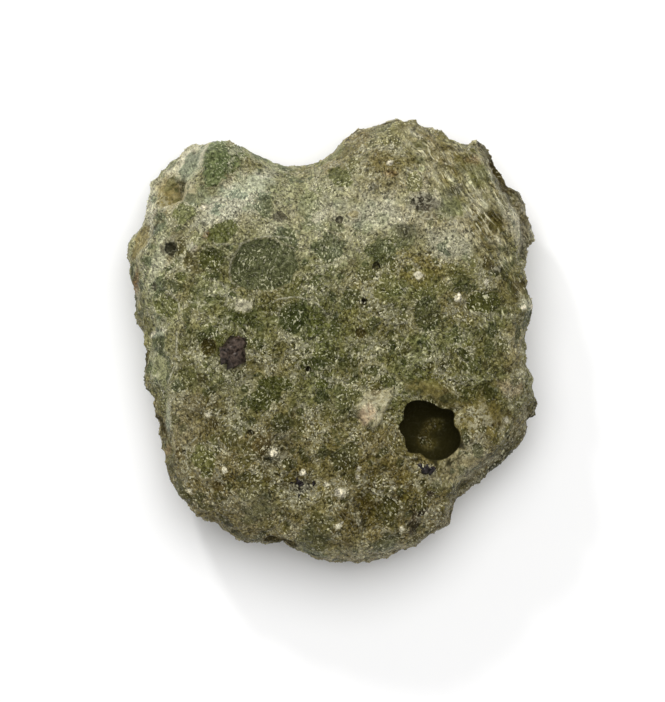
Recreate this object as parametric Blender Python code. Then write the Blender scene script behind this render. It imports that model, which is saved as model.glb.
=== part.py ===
"""A lump of trinitite: green glass that a blast fused from desert sand, broken from its sheet and lying flat.

It formed as one piece, so it is one closed solid: a heart-shaped slab with a domed, lumpy top, broken flanks
and a rough underside that rests on a few worn flats. Gas bubbles left a deep round hollow near one edge,
a broken hollow at one corner and small pits all over. Harder grains stand a little out of the glass.

The slab is modelled in millimetres and scaled to metres at the end. +Z is up and +Y points to the side with
the bay. The origin lies in the resting plane, under the middle of the bounding box.
"""

import itertools
import math

import bmesh
import bpy
import numpy as np
from mathutils import Matrix

METRES_PER_MM = 0.001

# ---- driving dimensions, in millimetres ----
WIDEST_Z = 6.3            # height of the widest line of the flanks over the resting plane
WIDEST_SWAY = 1.5         # how far that line wanders up and down
RISE = 8.7                # from the widest line up to the top
FALL = 6.2                # from the widest line down to the underside, before the flats are worn
TOP_SQUARENESS = 3.4      # exponent of the upper profile: 2 is an ellipse, higher is squarer
BASE_SQUARENESS = 3.0     # the same for the lower profile
ROUNDED_EDGE = 0.14       # radians each way over which the outline's jags are evened out away from that line
SUBDIVISIONS = 7          # of the icosphere that the slab is formed from
TRIANGLES = 9200          # kept after thinning, so that facets are about 1 mm across

# Unevenness all over: size of the lumps and how far they stand out.
LUMPS = ((9.0, 0.6), (4.4, 0.5), (2.3, 0.3), (1.2, 0.17))
BASE_LUMPS = 1.7          # the underside is this many times as uneven
EDGE_LUMPS = 0.2          # and the widest line this many times, so that it keeps to the outline

# Broad swells of the top: x, y, radius, height. A negative height is a dip.
SWELLS = (
    (2.5, 8.0, 8.0, 0.6),
    (-9.0, 13.5, 5.0, 0.5),
    (13.0, 1.0, 5.0, 0.4),
    (-4.0, -14.0, 6.0, 0.4),
    (-13.0, -6.0, 4.5, -0.5),
    (4.0, -1.0, 4.0, -0.4),
    (5.6, 18.4, 3.0, 0.4),
    (-3.0, 16.6, 3.4, -0.8),
)

# Small mineral grains that stand out of the glass: x, y, radius, height.
GRAINS = (
    (9.8, -12.9, 0.8, 0.45),
    (0.9, -15.4, 0.7, 0.4),
    (-3.0, -13.4, 0.7, 0.35),
    (-6.0, -11.3, 0.6, 0.35),
    (2.2, 13.2, 0.9, 0.4),
    (20.2, 3.7, 1.1, 0.5),
    (12.9, 4.4, 0.6, 0.35),
    (-14.4, 9.6, 0.7, 0.4),
)

# Patches of the top that step up or down: height, width of the slope round them, and their corners.
STEPS = {
    "left ledge": (-1.7, 0.6, (
        (-22, 14.5), (-19.0, 13.8), (-18.4, 11.5), (-19.4, 9.6), (-19.9, 8.3), (-19.6, 6.6), (-22, 6))),
    "lower left ledge": (-1.3, 0.6, (
        (-23, -0.6), (-17.4, -0.9), (-16.5, -2), (-17.0, -4.5), (-16.9, -9), (-16.2, -12), (-23, -13))),
    "corner ledge": (-3.2, 0.9, (
        (-23, 14.6), (-18.6, 13.6), (-15.5, 14.6), (-15.2, 16.4), (-13.8, 18.0), (-13.4, 19.2), (-13.2, 24),
        (-23, 24))),
    "upper right flank": (-2.4, 1.0, (
        (14.6, 24), (15.0, 20.0), (16.2, 17.9), (17.3, 15.6), (18.6, 13.4), (19.4, 11.2), (19.3, 8.5),
        (24, 8), (24, 24))),
    "lower right flank": (-2.2, 1.0, (
        (24, -5.2), (20.0, -6.6), (19.0, -9.2), (17.3, -11.2), (15.0, -12.9), (13.0, -14.6), (12.0, -17.2),
        (12, -24), (24, -24))),
    "green knob": (0.7, 0.8, (
        (-11.0, 20.8), (-10.6, 18.5), (-11.6, 16.2), (-13.0, 15.7), (-13.4, 17.5), (-13.2, 19.3),
        (-12.6, 20.9))),
    "glass lens": (-0.3, 0.4, (
        (-10.5, 7.5), (-10.4, 6.3), (-9.1, 5.3), (-6.4, 5.2), (-4.4, 5.9), (-3.4, 7.6), (-4.0, 9.5),
        (-6.6, 10.6), (-8.2, 10.4), (-9.5, 9.8))),
    "hollow's lip": (0.45, 0.6, (
        (7.3, -4.6), (8.0, -3.9), (10.5, -4.1), (12.6, -5.2), (13.4, -6.6), (12.6, -6.9), (11.5, -6.3),
        (10.0, -5.5), (8.2, -5.6))),
    "pink grain": (0.55, 0.3, (
        (2.2, -6.8), (3.0, -5.3), (4.4, -5.0), (6.2, -4.8), (5.9, -6.0), (5.3, -7.2), (5.0, -8.2),
        (4.2, -9.1), (3.3, -8.4), (2.5, -7.5))),
    "red crystal": (0.65, 0.25, (
        (-10.4, 0.3), (-9.8, 0.6), (-9.2, 0.5), (-9.1, -0.5), (-9.2, -1.9), (-10.6, -2.3), (-11.3, -2.0),
        (-11.0, -1.0), (-10.6, -0.4))),
}
STEP_FADE = 0.5           # share of the rise over which a step dies out towards the widest line

# The plan outline, anticlockwise from +X. Each point is where the broken edge changes direction.
OUTLINE = (
    (19.75, 0.0), (20.2, 1.5), (20.7, 2.8), (20.65, 4.3), (19.8, 5.4), (19.9, 6.6), (19.7, 7.3), (20.1, 8.4),
    (20.1, 9.7), (20.95, 10.3), (20.9, 11.3), (20.05, 13.3), (19.95, 14.2), (19.1, 15.6), (18.15, 16.1),
    (17.4, 17.6), (16.6, 19.0), (16.1, 20.0), (15.3, 20.6), (14.5, 20.6), (13.8, 20.1), (13.0, 20.5),
    (11.9, 21.15), (10.3, 21.95), (8.85, 22.1), (8.6, 22.85), (7.9, 22.85), (7.4, 22.6), (6.6, 23.0),
    (5.8, 22.8), (5.2, 22.45), (4.0, 21.95), (3.2, 21.9), (2.7, 22.1), (1.8, 21.5), (0.9, 20.5), (0.1, 19.45),
    (-1.0, 18.85), (-2.6, 18.35), (-4.2, 18.2), (-5.8, 18.4), (-7.2, 19.0), (-8.8, 19.9), (-10.1, 20.4),
    (-10.7, 20.75), (-11.9, 20.65), (-13.4, 20.3), (-14.5, 20.45), (-15.4, 19.85), (-15.9, 19.1),
    (-17.0, 18.2), (-17.9, 17.7), (-18.2, 17.15), (-19.2, 16.65), (-18.95, 15.6), (-19.4, 13.9),
    (-19.8, 12.0), (-20.85, 10.2), (-20.85, 9.2), (-21.25, 8.6), (-20.9, 8.1), (-20.95, 7.1), (-20.4, 5.4),
    (-20.15, 4.1), (-20.45, 3.0), (-20.2, 2.0), (-19.6, 0.9), (-19.1, -0.9), (-19.75, -1.3), (-19.65, -2.6),
    (-19.3, -4.8), (-18.4, -5.9), (-18.55, -6.5), (-17.95, -8.6), (-17.6, -10.9), (-17.0, -11.9),
    (-17.1, -13.4), (-16.6, -14.6), (-15.9, -15.9), (-15.1, -16.1), (-14.9, -16.9), (-13.7, -17.9),
    (-13.2, -18.4), (-11.9, -18.55), (-10.5, -19.4), (-9.4, -20.7), (-8.7, -20.9), (-7.9, -20.7),
    (-6.4, -20.8), (-5.1, -20.65), (-4.5, -21.4), (-3.7, -21.95), (-2.8, -22.35), (-1.4, -22.6),
    (0.2, -22.95), (2.0, -23.0), (4.2, -22.8), (5.8, -22.55), (6.5, -22.1), (7.3, -21.65), (8.7, -21.4),
    (9.9, -20.1), (11.4, -19.4), (12.1, -18.95), (12.4, -17.6), (13.0, -15.75), (14.6, -14.9), (16.4, -13.5),
    (18.0, -11.95), (19.2, -11.0), (19.85, -10.0), (20.3, -8.2), (21.0, -7.6), (21.3, -6.2), (20.7, -5.0),
    (20.6, -3.5), (19.7, -2.1), (19.65, -0.9),
)

# The mouth of the deep hollow, anticlockwise, where the glass skin over the bubble broke away.
MOUTH = (
    (13.15, -10.0), (12.95, -9.2), (12.55, -8.7), (12.5, -8.1), (12.7, -7.3), (12.0, -6.8), (11.1, -6.75),
    (10.75, -6.85), (10.3, -6.35), (9.1, -6.0), (7.9, -6.2), (7.4, -6.8), (7.2, -8.0), (6.85, -8.5),
    (6.95, -9.3), (7.4, -9.9), (7.5, -10.8), (7.9, -11.4), (9.0, -11.5), (9.7, -12.0), (10.7, -12.2),
    (11.7, -12.0), (12.5, -11.4), (13.0, -10.8),
)
HOLLOW = (9.95, -9.05)    # plan centre of the deep bubble
HOLLOW_RADIUS = 3.9
HOLLOW_DEPTH = 3.0        # of the bubble's centre under the surface
MOUTH_REACH = 2.0         # the mouth's walls start this far over the surface and end as far under it

# Bubbles broken open in the top: x, y, radius, depth of the centre under the surface. A negative depth is
# a centre over the surface, which leaves a shallow dish.
TOP_BUBBLES = (
    (-17.1, 15.0, 2.3, -0.9),
    (-16.5, 9.55, 0.8, 0.4),
    (-18.4, 5.6, 0.7, 0.1),
    (-12.75, -0.6, 0.85, -0.25),
    (-12.5, 9.0, 1.1, -0.6),
    (4.5, 7.7, 0.55, 0.1),
    (0.7, 12.5, 0.6, 0.0),
    (2.9, 0.85, 0.6, 0.0),
    (11.6, -2.7, 0.9, -0.3),
    (15.8, -5.3, 1.4, -0.8),
    (-8.4, -9.3, 0.6, 0.05),
    (-15.3, -11.5, 0.7, 0.0),
)

# Bubbles broken open in the flanks: how many, smallest and largest radius, and the band of height.
FLANK_BUBBLES = 15
FLANK_RADIUS = (0.9, 2.1)
FLANK_BAND = (2.6, 10.5)
UNDER_BUBBLES = 9
UNDER_RADIUS = (0.8, 1.9)
OUT_OF_ROUND = 0.14       # share of its radius by which a bubble's wall bulges in and out
SEED = 45

GLASS_GREEN = (0.20, 0.21, 0.10, 1.0)


# ---- noise ----

def hashed(cells, salt):
    """A repeatable number from 0 to 1 for each whole-numbered cell: prime multiples, mixed bit by bit."""
    mixed = (cells[:, 0] * 73856093) ^ (cells[:, 1] * 19349663) ^ (cells[:, 2] * 83492791) ^ (salt * 7919)
    mixed = ((mixed ^ (mixed >> 13)) & 0xFFFFFFFF) * 1274126177
    return ((mixed ^ (mixed >> 16)) & 0xFFFFFF) / 0x1000000


def noise(points, size, salt):
    """Smooth noise, about -1 to 1: a random slope at each corner of a lattice, blended by
    6t^5 - 15t^4 + 10t^3."""
    scaled = points / size
    cells = np.floor(scaled).astype(np.int64)
    part = scaled - cells
    fade = part**3 * (part * (part * 6 - 15) + 10)
    total = np.zeros(len(points))
    for corner in itertools.product((0, 1), repeat=3):
        slope = np.stack([hashed(cells + corner, salt + axis) for axis in range(3)], axis=1) * 2 - 1
        weight = np.prod(np.where(corner, fade, 1 - fade), axis=1)
        total += weight * ((part - corner) * slope).sum(axis=1)
    return total * 1.7


# ---- the slab's form ----

def edge_radius(angles):
    """Distance from the Z axis to the plan outline at each angle, straight between the outline's corners."""
    corners = np.array(OUTLINE)
    return np.interp(angles, np.arctan2(corners[:, 1], corners[:, 0]), np.hypot(*corners.T), period=math.tau)


def even_profile(share, height, power):
    """Distance from the axis, as a share of the outline's radius, of the point this share of the way down
    the profile from the pole to the rim."""
    mean_radius = np.hypot(*np.array(OUTLINE).T).mean()
    turn = np.linspace(0, math.pi / 2, 400)
    across = np.sin(turn) ** (2 / power)
    up = np.cos(turn) ** (2 / power)
    run = np.concatenate([[0], np.cumsum(np.hypot(np.diff(across) * mean_radius, np.diff(up) * height))])
    return np.interp(share, run / run[-1], across)


def slab_points(directions):
    """Places points of a unit sphere on the slab. The angle round Z picks the outline's radius R, and the
    angle down from the pole runs at even speed along the profile, a superellipse |r/R|^n + |z/H|^n = 1. R is
    the jagged outline at the widest line and evens out above and below it. Lumps stand out along the
    profile's normal, and steps move straight up or down."""
    angles = np.arctan2(directions[:, 1], directions[:, 0])
    outward = np.stack([np.cos(angles), np.sin(angles)], axis=1)
    upper = directions[:, 2] >= 0
    side = np.where(upper, 1, -1)
    height = np.where(upper, RISE, FALL)
    power = np.where(upper, TOP_SQUARENESS, BASE_SQUARENESS)
    share = np.arccos(np.clip(np.abs(directions[:, 2]), 0, 1)) / (math.pi / 2)
    upper_across = even_profile(share, RISE, TOP_SQUARENESS)
    lower_across = even_profile(share, FALL, BASE_SQUARENESS)
    across = np.where(upper, upper_across, lower_across)
    up = (1 - across**power) ** (1 / power)

    turns = np.linspace(-ROUNDED_EDGE, ROUNDED_EDGE, 9)
    evened = np.mean([edge_radius(angles + turn) for turn in turns], axis=0)
    radius = evened + (edge_radius(angles) - evened) * np.exp(-((up / 0.5) ** 2))
    points = np.column_stack([outward * (radius * across)[:, None], side * up * height])
    normals = np.column_stack([
        outward * (across ** (power - 1) / radius)[:, None],
        side * up ** (power - 1) / height,
    ])
    normals /= np.linalg.norm(normals, axis=1, keepdims=True)

    rough = sum(depth * noise(points, size, 100 * octave) for octave, (size, depth) in enumerate(LUMPS))
    rough *= 1 + (BASE_LUMPS - 1) * np.clip(-normals[:, 2], 0, 1)
    rough *= 1 - (1 - EDGE_LUMPS) * np.exp(-((up / 0.3) ** 2))
    moved = points + normals * rough[:, None]
    moved[:, 2] += steps(points) * np.where(upper, np.clip(up / STEP_FADE, 0, 1), 0)
    moved[:, 2] += swells(points) * np.where(upper, up, 0)
    moved[:, 2] += WIDEST_Z + WIDEST_SWAY * noise(points * (1, 1, 0), 14, 700) * across**4
    return moved


def inside(points, corners):
    """Distance in plan from each point to the polygon's nearest edge: positive inside, negative outside."""
    plan = points[:, :2]
    nearest = np.full(len(plan), np.inf)
    within = np.zeros(len(plan), bool)
    for start, end in zip(corners, corners[1:] + corners[:1]):
        along = np.subtract(end, start)
        off = plan - start
        share = np.clip(off @ along / (along @ along), 0, 1)
        nearest = np.minimum(nearest, np.hypot(*(off - share[:, None] * along).T))
        spans = (start[1] > plan[:, 1]) != (end[1] > plan[:, 1])
        within ^= spans & (off[:, 0] < off[:, 1] * along[0] / (along[1] or 1))
    return np.where(within, nearest, -nearest)


def steps(points):
    """Height added by the patches that step up or down: the slope at their edges follows 3t^2 - 2t^3."""
    total = np.zeros(len(points))
    for height, slope, corners in STEPS.values():
        part = np.clip(inside(points, corners) / slope + 0.5, 0, 1)
        total += height * part**2 * (3 - 2 * part)
    return total


def swells(points):
    """Height added by the swells, as bell curves, and by the small grains, as flat-topped ones."""
    total = np.zeros(len(points))
    for bumps, sharpness in ((SWELLS, 2), (GRAINS, 5)):
        for x, y, reach, height in bumps:
            off = np.hypot(points[:, 0] - x, points[:, 1] - y) / reach
            total += height * np.exp(-(off**sharpness))
    return total


# ---- objects ----

def linked(name, mesh):
    thing = bpy.data.objects.new(name, mesh)
    bpy.context.scene.collection.objects.link(thing)
    return thing


def mesh_of(name, shape):
    mesh = bpy.data.meshes.new(name)
    shape.to_mesh(mesh)
    shape.free()
    return mesh


def ball_mesh(name, subdivisions, balls):
    """One mesh of icospheres, each with its centre and radius."""
    shape = bmesh.new()
    for centre, radius in balls:
        made = bmesh.ops.create_icosphere(shape, subdivisions=subdivisions, radius=radius)
        bmesh.ops.translate(shape, verts=made["verts"], vec=centre)
    return mesh_of(name, shape)


def bubble_mesh(name, subdivisions, balls):
    """Balls pushed out of round by noise three-quarters of a radius across, as bubbles in stiff glass are."""
    mesh = ball_mesh(name, subdivisions, balls)
    points = coordinates(mesh)
    per_ball = len(points) // len(balls)
    centres = np.repeat([centre for centre, radius in balls], per_ball, axis=0)
    radii = np.repeat([radius for centre, radius in balls], per_ball)[:, None]
    stretch = 1 + OUT_OF_ROUND * noise(points / radii, 0.75, 900)[:, None]
    set_coordinates(mesh, centres + (points - centres) * stretch)
    return mesh


def coordinates(mesh):
    found = np.empty(len(mesh.vertices) * 3, np.float32)
    mesh.vertices.foreach_get("co", found)
    return found.reshape(-1, 3).astype(float)


def set_coordinates(mesh, points):
    mesh.vertices.foreach_set("co", points.astype(np.float32).ravel())
    mesh.update()


def surface_height(points, x, y):
    """Height of the top over a plan point, read from the nearest point of the top."""
    top = points[points[:, 2] > WIDEST_Z + 1]
    return float(top[np.hypot(top[:, 0] - x, top[:, 1] - y).argmin(), 2])


def slab():
    mesh = ball_mesh("trinitite", SUBDIVISIONS, [((0, 0, 0), 1)])
    points = slab_points(coordinates(mesh))
    set_coordinates(mesh, points)
    return linked("trinitite", mesh), points


def cutter(name, mesh):
    made = linked(name, mesh)
    made.hide_render = True
    made.display_type = "WIRE"
    return made


def mouth_cutter(level):
    """A prism on the mouth's outline, through the skin of glass over the deep bubble."""
    shape = bmesh.new()
    rim = [shape.verts.new((x, y, level - MOUTH_REACH)) for x, y in MOUTH]
    floor = shape.faces.new(rim)
    extruded = bmesh.ops.extrude_face_region(shape, geom=[floor])["geom"]
    raised_rim = [v for v in extruded if isinstance(v, bmesh.types.BMVert)]
    bmesh.ops.translate(shape, verts=raised_rim, vec=(0, 0, 2 * MOUTH_REACH))
    bmesh.ops.recalc_face_normals(shape, faces=shape.faces)
    return cutter("mouth_cutter", mesh_of("mouth_cutter", shape))


def hollow_cutter(level):
    centre = (*HOLLOW, level - HOLLOW_DEPTH)
    return cutter("hollow_cutter", bubble_mesh("hollow_cutter", 4, [(centre, HOLLOW_RADIUS)]))


def bubble_cutter(points):
    """The broken bubbles of the top by their places, and those of the flanks and underside by a seeded draw
    that keeps each clear of the last ones."""
    balls = [((x, y, surface_height(points, x, y) - depth), radius) for x, y, radius, depth in TOP_BUBBLES]
    balls += drawn_bubbles(balls)
    return cutter("bubble_cutter", bubble_mesh("bubble_cutter", 3, balls))


def drawn_bubbles(taken):
    draw = np.random.default_rng(SEED)
    taken = [*taken, ((*HOLLOW, WIDEST_Z + RISE - HOLLOW_DEPTH), HOLLOW_RADIUS)]
    drawn = []
    while len(drawn) < FLANK_BUBBLES + UNDER_BUBBLES:
        angle = draw.uniform(0, math.tau)
        if len(drawn) < FLANK_BUBBLES:
            radius = draw.uniform(*FLANK_RADIUS)
            out = float(edge_radius(np.array([angle]))[0]) + draw.uniform(0.0, 0.45) * radius
            height = draw.uniform(*FLANK_BAND)
        else:
            radius = draw.uniform(*UNDER_RADIUS)
            out = math.sqrt(draw.uniform(0.1, 0.75)) * float(edge_radius(np.array([angle]))[0])
            height = -draw.uniform(0.1, 0.5) * radius
        centre = (out * math.cos(angle), out * math.sin(angle), height)
        if all(math.dist(centre, other) > radius + reach + 0.4 for other, reach in taken + drawn):
            drawn.append((centre, radius))
    return drawn


def resting_cutter():
    """A block whose top is the resting plane: it wears the lowest lumps to flats."""
    shape = bmesh.new()
    bmesh.ops.create_cube(shape, size=80)
    bmesh.ops.translate(shape, verts=shape.verts, vec=(0, 0, -40))
    return cutter("resting_cutter", mesh_of("resting_cutter", shape))


def cut(thing, by):
    difference = thing.modifiers.new(by.name, "BOOLEAN")
    difference.operation = "DIFFERENCE"
    difference.solver = "EXACT"
    difference.object = by


def thinned(thing):
    """Thins the carved slab to the wanted number of triangles. Flat stretches lose most and rims least."""
    graph = bpy.context.evaluated_depsgraph_get()
    carved = thing.evaluated_get(graph).to_mesh()
    carved.calc_loop_triangles()
    decimate = thing.modifiers.new("thinning", "DECIMATE")
    decimate.ratio = TRIANGLES / len(carved.loop_triangles)
    decimate.use_collapse_triangulate = True
    thing.evaluated_get(graph).to_mesh_clear()


def glass():
    material = bpy.data.materials.new("blast_glass")
    material.use_nodes = True
    shader = material.node_tree.nodes["Principled BSDF"]
    shader.inputs["Base Color"].default_value = GLASS_GREEN
    shader.inputs["Roughness"].default_value = 0.55
    shader.inputs["Metallic"].default_value = 0.0
    return material


def main():
    for old in list(bpy.data.objects):
        bpy.data.objects.remove(old)
    trinitite, points = slab()
    trinitite.data.materials.append(glass())
    level = surface_height(points, *HOLLOW)
    cutters = [mouth_cutter(level), hollow_cutter(level), bubble_cutter(points)]
    for each in cutters:
        cut(trinitite, each)
    thinned(trinitite)
    resting = resting_cutter()
    cut(trinitite, resting)
    for thing in (trinitite, *cutters, resting):
        thing.data.transform(Matrix.Scale(METRES_PER_MM, 4))


main()
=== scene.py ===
"""Dresses the trinitite: the fused glass skin, its crust of sand grains, its coloured mineral grains, and a
plain studio round it. Lengths inside the shape functions are millimetres; meshes are made in metres."""

import functools
import itertools
import math

import bpy
import numpy as np
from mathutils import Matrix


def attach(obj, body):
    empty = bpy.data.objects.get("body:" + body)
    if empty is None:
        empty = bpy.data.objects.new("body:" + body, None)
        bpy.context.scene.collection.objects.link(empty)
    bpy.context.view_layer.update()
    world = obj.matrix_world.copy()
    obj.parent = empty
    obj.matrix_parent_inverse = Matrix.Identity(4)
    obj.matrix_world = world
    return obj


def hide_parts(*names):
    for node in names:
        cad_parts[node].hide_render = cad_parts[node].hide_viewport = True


bl_info = {
    "name": "Trinitite",
    "version": (1, 0, 0),
    "blender": (4, 5, 0),
    "location": "3D View > Sidebar > Trinitite",
    "description": "A lump of green glass that a blast fused from desert sand",
    "category": "Add Mesh",
}

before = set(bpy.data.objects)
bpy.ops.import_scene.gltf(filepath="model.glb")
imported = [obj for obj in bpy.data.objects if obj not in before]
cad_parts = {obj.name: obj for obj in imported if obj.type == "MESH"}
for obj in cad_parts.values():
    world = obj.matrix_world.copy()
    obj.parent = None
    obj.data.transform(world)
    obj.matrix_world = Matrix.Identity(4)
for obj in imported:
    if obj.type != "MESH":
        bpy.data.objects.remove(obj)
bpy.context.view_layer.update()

METRES_PER_MM = 0.001
NODE = "trinitite"

# ---- the lump's form, in millimetres: the solid's values, but for the mouth and the small bubbles ----
WIDEST_Z = 6.3            # height of the widest line of the flanks over the resting plane
WIDEST_SWAY = 1.5         # how far that line wanders up and down
SWAY_SIZE = 14.0          # and the size of those wanderings
RISE = 8.7                # from the widest line up to the top
FALL = 6.2                # from the widest line down to the underside, before the flats are worn
TOP_SQUARENESS = 3.4      # exponent of the upper profile: 2 is an ellipse, higher is squarer
BASE_SQUARENESS = 3.0     # the same for the lower profile
ROUNDED_EDGE = 0.14       # radians each way over which the outline's jags are evened out away from that line
LUMPS = ((9.0, 0.6), (4.4, 0.5), (2.3, 0.3), (1.2, 0.17))
BASE_LUMPS = 1.7          # the underside is this many times as uneven
EDGE_LUMPS = 0.2          # and the widest line this many times, so that it keeps to the outline
EDGE_LUMPS_REACH = 0.3    # share of the height over which that fades
JAG_REACH = 0.5           # the same for the outline's jags and the crumbly edge
ROUNDED_STEPS = 9         # places along the outline that are averaged to even it out
PROFILE_STEPS = 400       # short straight runs by which the length of the profile is measured
STEP_FADE = 0.5           # share of the rise over which a step dies out towards the widest line

# Broad swells of the top: x, y, radius, height. A negative height is a dip.
SWELLS = (
    (2.5, 8.0, 8.0, 0.6), (-9.0, 13.5, 5.0, 0.5), (13.0, 1.0, 5.0, 0.4), (-4.0, -14.0, 6.0, 0.4),
    (-13.0, -6.0, 4.5, -0.5), (4.0, -1.0, 4.0, -0.4), (5.6, 18.4, 3.0, 0.4), (-3.0, 16.6, 3.4, -0.8),
)

# Small mineral grains that stand out of the glass: x, y, radius, height.
GRAINS = (
    (9.8, -12.9, 0.8, 0.45), (0.9, -15.4, 0.7, 0.4), (-3.0, -13.4, 0.7, 0.35), (-6.0, -11.3, 0.6, 0.35),
    (2.2, 13.2, 0.9, 0.4), (20.2, 3.7, 1.1, 0.5), (12.9, 4.4, 0.6, 0.35), (-14.4, 9.6, 0.7, 0.4),
)

# Patches of the top that step up or down: height, width of the slope round them, and their corners.
STEPS = {
    "left ledge": (-1.7, 0.6, (
        (-22, 14.5), (-19.0, 13.8), (-18.4, 11.5), (-19.4, 9.6), (-19.9, 8.3), (-19.6, 6.6), (-22, 6))),
    "lower left ledge": (-1.3, 0.6, (
        (-23, -0.6), (-17.4, -0.9), (-16.5, -2), (-17.0, -4.5), (-16.9, -9), (-16.2, -12), (-23, -13))),
    "corner ledge": (-3.2, 0.9, (
        (-23, 14.6), (-18.6, 13.6), (-15.5, 14.6), (-15.2, 16.4), (-13.8, 18.0), (-13.4, 19.2), (-13.2, 24),
        (-23, 24))),
    "upper right flank": (-2.4, 1.0, (
        (14.6, 24), (15.0, 20.0), (16.2, 17.9), (17.3, 15.6), (18.6, 13.4), (19.4, 11.2), (19.3, 8.5),
        (24, 8), (24, 24))),
    "lower right flank": (-2.2, 1.0, (
        (24, -5.2), (20.0, -6.6), (19.0, -9.2), (17.3, -11.2), (15.0, -12.9), (13.0, -14.6), (12.0, -17.2),
        (12, -24), (24, -24))),
    "green knob": (0.7, 0.8, (
        (-11.0, 20.8), (-10.6, 18.5), (-11.6, 16.2), (-13.0, 15.7), (-13.4, 17.5), (-13.2, 19.3),
        (-12.6, 20.9))),
    "glass lens": (-0.3, 0.4, (
        (-10.5, 7.5), (-10.4, 6.3), (-9.1, 5.3), (-6.4, 5.2), (-4.4, 5.9), (-3.4, 7.6), (-4.0, 9.5),
        (-6.6, 10.6), (-8.2, 10.4), (-9.5, 9.8))),
    "hollow's lip": (0.45, 0.6, (
        (7.3, -4.6), (8.0, -3.9), (10.5, -4.1), (12.6, -5.2), (13.4, -6.6), (12.6, -6.9), (11.5, -6.3),
        (10.0, -5.5), (8.2, -5.6))),
    "pink grain": (0.55, 0.3, (
        (2.2, -6.8), (3.0, -5.3), (4.4, -5.0), (6.2, -4.8), (5.9, -6.0), (5.3, -7.2), (5.0, -8.2),
        (4.2, -9.1), (3.3, -8.4), (2.5, -7.5))),
    "red crystal": (0.65, 0.25, (
        (-10.4, 0.3), (-9.8, 0.6), (-9.2, 0.5), (-9.1, -0.5), (-9.2, -1.9), (-10.6, -2.3), (-11.3, -2.0),
        (-11.0, -1.0), (-10.6, -0.4))),
}

# The plan outline, anticlockwise from +X. Each point is where the broken edge changes direction.
OUTLINE = (
    (19.75, 0.0), (20.2, 1.5), (20.7, 2.8), (20.65, 4.3), (19.8, 5.4), (19.9, 6.6), (19.7, 7.3), (20.1, 8.4),
    (20.1, 9.7), (20.95, 10.3), (20.9, 11.3), (20.05, 13.3), (19.95, 14.2), (19.1, 15.6), (18.15, 16.1),
    (17.4, 17.6), (16.6, 19.0), (16.1, 20.0), (15.3, 20.6), (14.5, 20.6), (13.8, 20.1), (13.0, 20.5),
    (11.9, 21.15), (10.3, 21.95), (8.85, 22.1), (8.6, 22.85), (7.9, 22.85), (7.4, 22.6), (6.6, 23.0),
    (5.8, 22.8), (5.2, 22.45), (4.0, 21.95), (3.2, 21.9), (2.7, 22.1), (1.8, 21.5), (0.9, 20.5), (0.1, 19.45),
    (-1.0, 18.85), (-2.6, 18.35), (-4.2, 18.2), (-5.8, 18.4), (-7.2, 19.0), (-8.8, 19.9), (-10.1, 20.4),
    (-10.7, 20.75), (-11.9, 20.65), (-13.4, 20.3), (-14.5, 20.45), (-15.4, 19.85), (-15.9, 19.1),
    (-17.0, 18.2), (-17.9, 17.7), (-18.2, 17.15), (-19.2, 16.65), (-18.95, 15.6), (-19.4, 13.9),
    (-19.8, 12.0), (-20.85, 10.2), (-20.85, 9.2), (-21.25, 8.6), (-20.9, 8.1), (-20.95, 7.1), (-20.4, 5.4),
    (-20.15, 4.1), (-20.45, 3.0), (-20.2, 2.0), (-19.6, 0.9), (-19.1, -0.9), (-19.75, -1.3), (-19.65, -2.6),
    (-19.3, -4.8), (-18.4, -5.9), (-18.55, -6.5), (-17.95, -8.6), (-17.6, -10.9), (-17.0, -11.9),
    (-17.1, -13.4), (-16.6, -14.6), (-15.9, -15.9), (-15.1, -16.1), (-14.9, -16.9), (-13.7, -17.9),
    (-13.2, -18.4), (-11.9, -18.55), (-10.5, -19.4), (-9.4, -20.7), (-8.7, -20.9), (-7.9, -20.7),
    (-6.4, -20.8), (-5.1, -20.65), (-4.5, -21.4), (-3.7, -21.95), (-2.8, -22.35), (-1.4, -22.6),
    (0.2, -22.95), (2.0, -23.0), (4.2, -22.8), (5.8, -22.55), (6.5, -22.1), (7.3, -21.65), (8.7, -21.4),
    (9.9, -20.1), (11.4, -19.4), (12.1, -18.95), (12.4, -17.6), (13.0, -15.75), (14.6, -14.9), (16.4, -13.5),
    (18.0, -11.95), (19.2, -11.0), (19.85, -10.0), (20.3, -8.2), (21.0, -7.6), (21.3, -6.2), (20.7, -5.0),
    (20.6, -3.5), (19.7, -2.1), (19.65, -0.9),
)

# The mouth of the deep hollow, anticlockwise, where the glass skin over the bubble broke away. At its
# upper right it runs up to 0.2 inside the solid's.
MOUTH = (
    (13.15, -10.0), (12.95, -9.2), (12.55, -8.7), (12.45, -8.1), (12.5, -7.4), (12.0, -7.0), (11.3, -6.9),
    (10.85, -6.75), (10.3, -6.35), (9.1, -6.0), (7.9, -6.2), (7.4, -6.8), (7.2, -8.0), (6.85, -8.5),
    (6.95, -9.3), (7.4, -9.9), (7.5, -10.8), (7.9, -11.4), (9.0, -11.5), (9.7, -12.0), (10.7, -12.2),
    (11.7, -12.0), (12.5, -11.4), (13.0, -10.8),
)
HOLLOW = (9.95, -9.05)
HOLLOW_RADIUS = 3.9
HOLLOW_DEPTH = 3.0
MOUTH_REACH = 2.0

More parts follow.
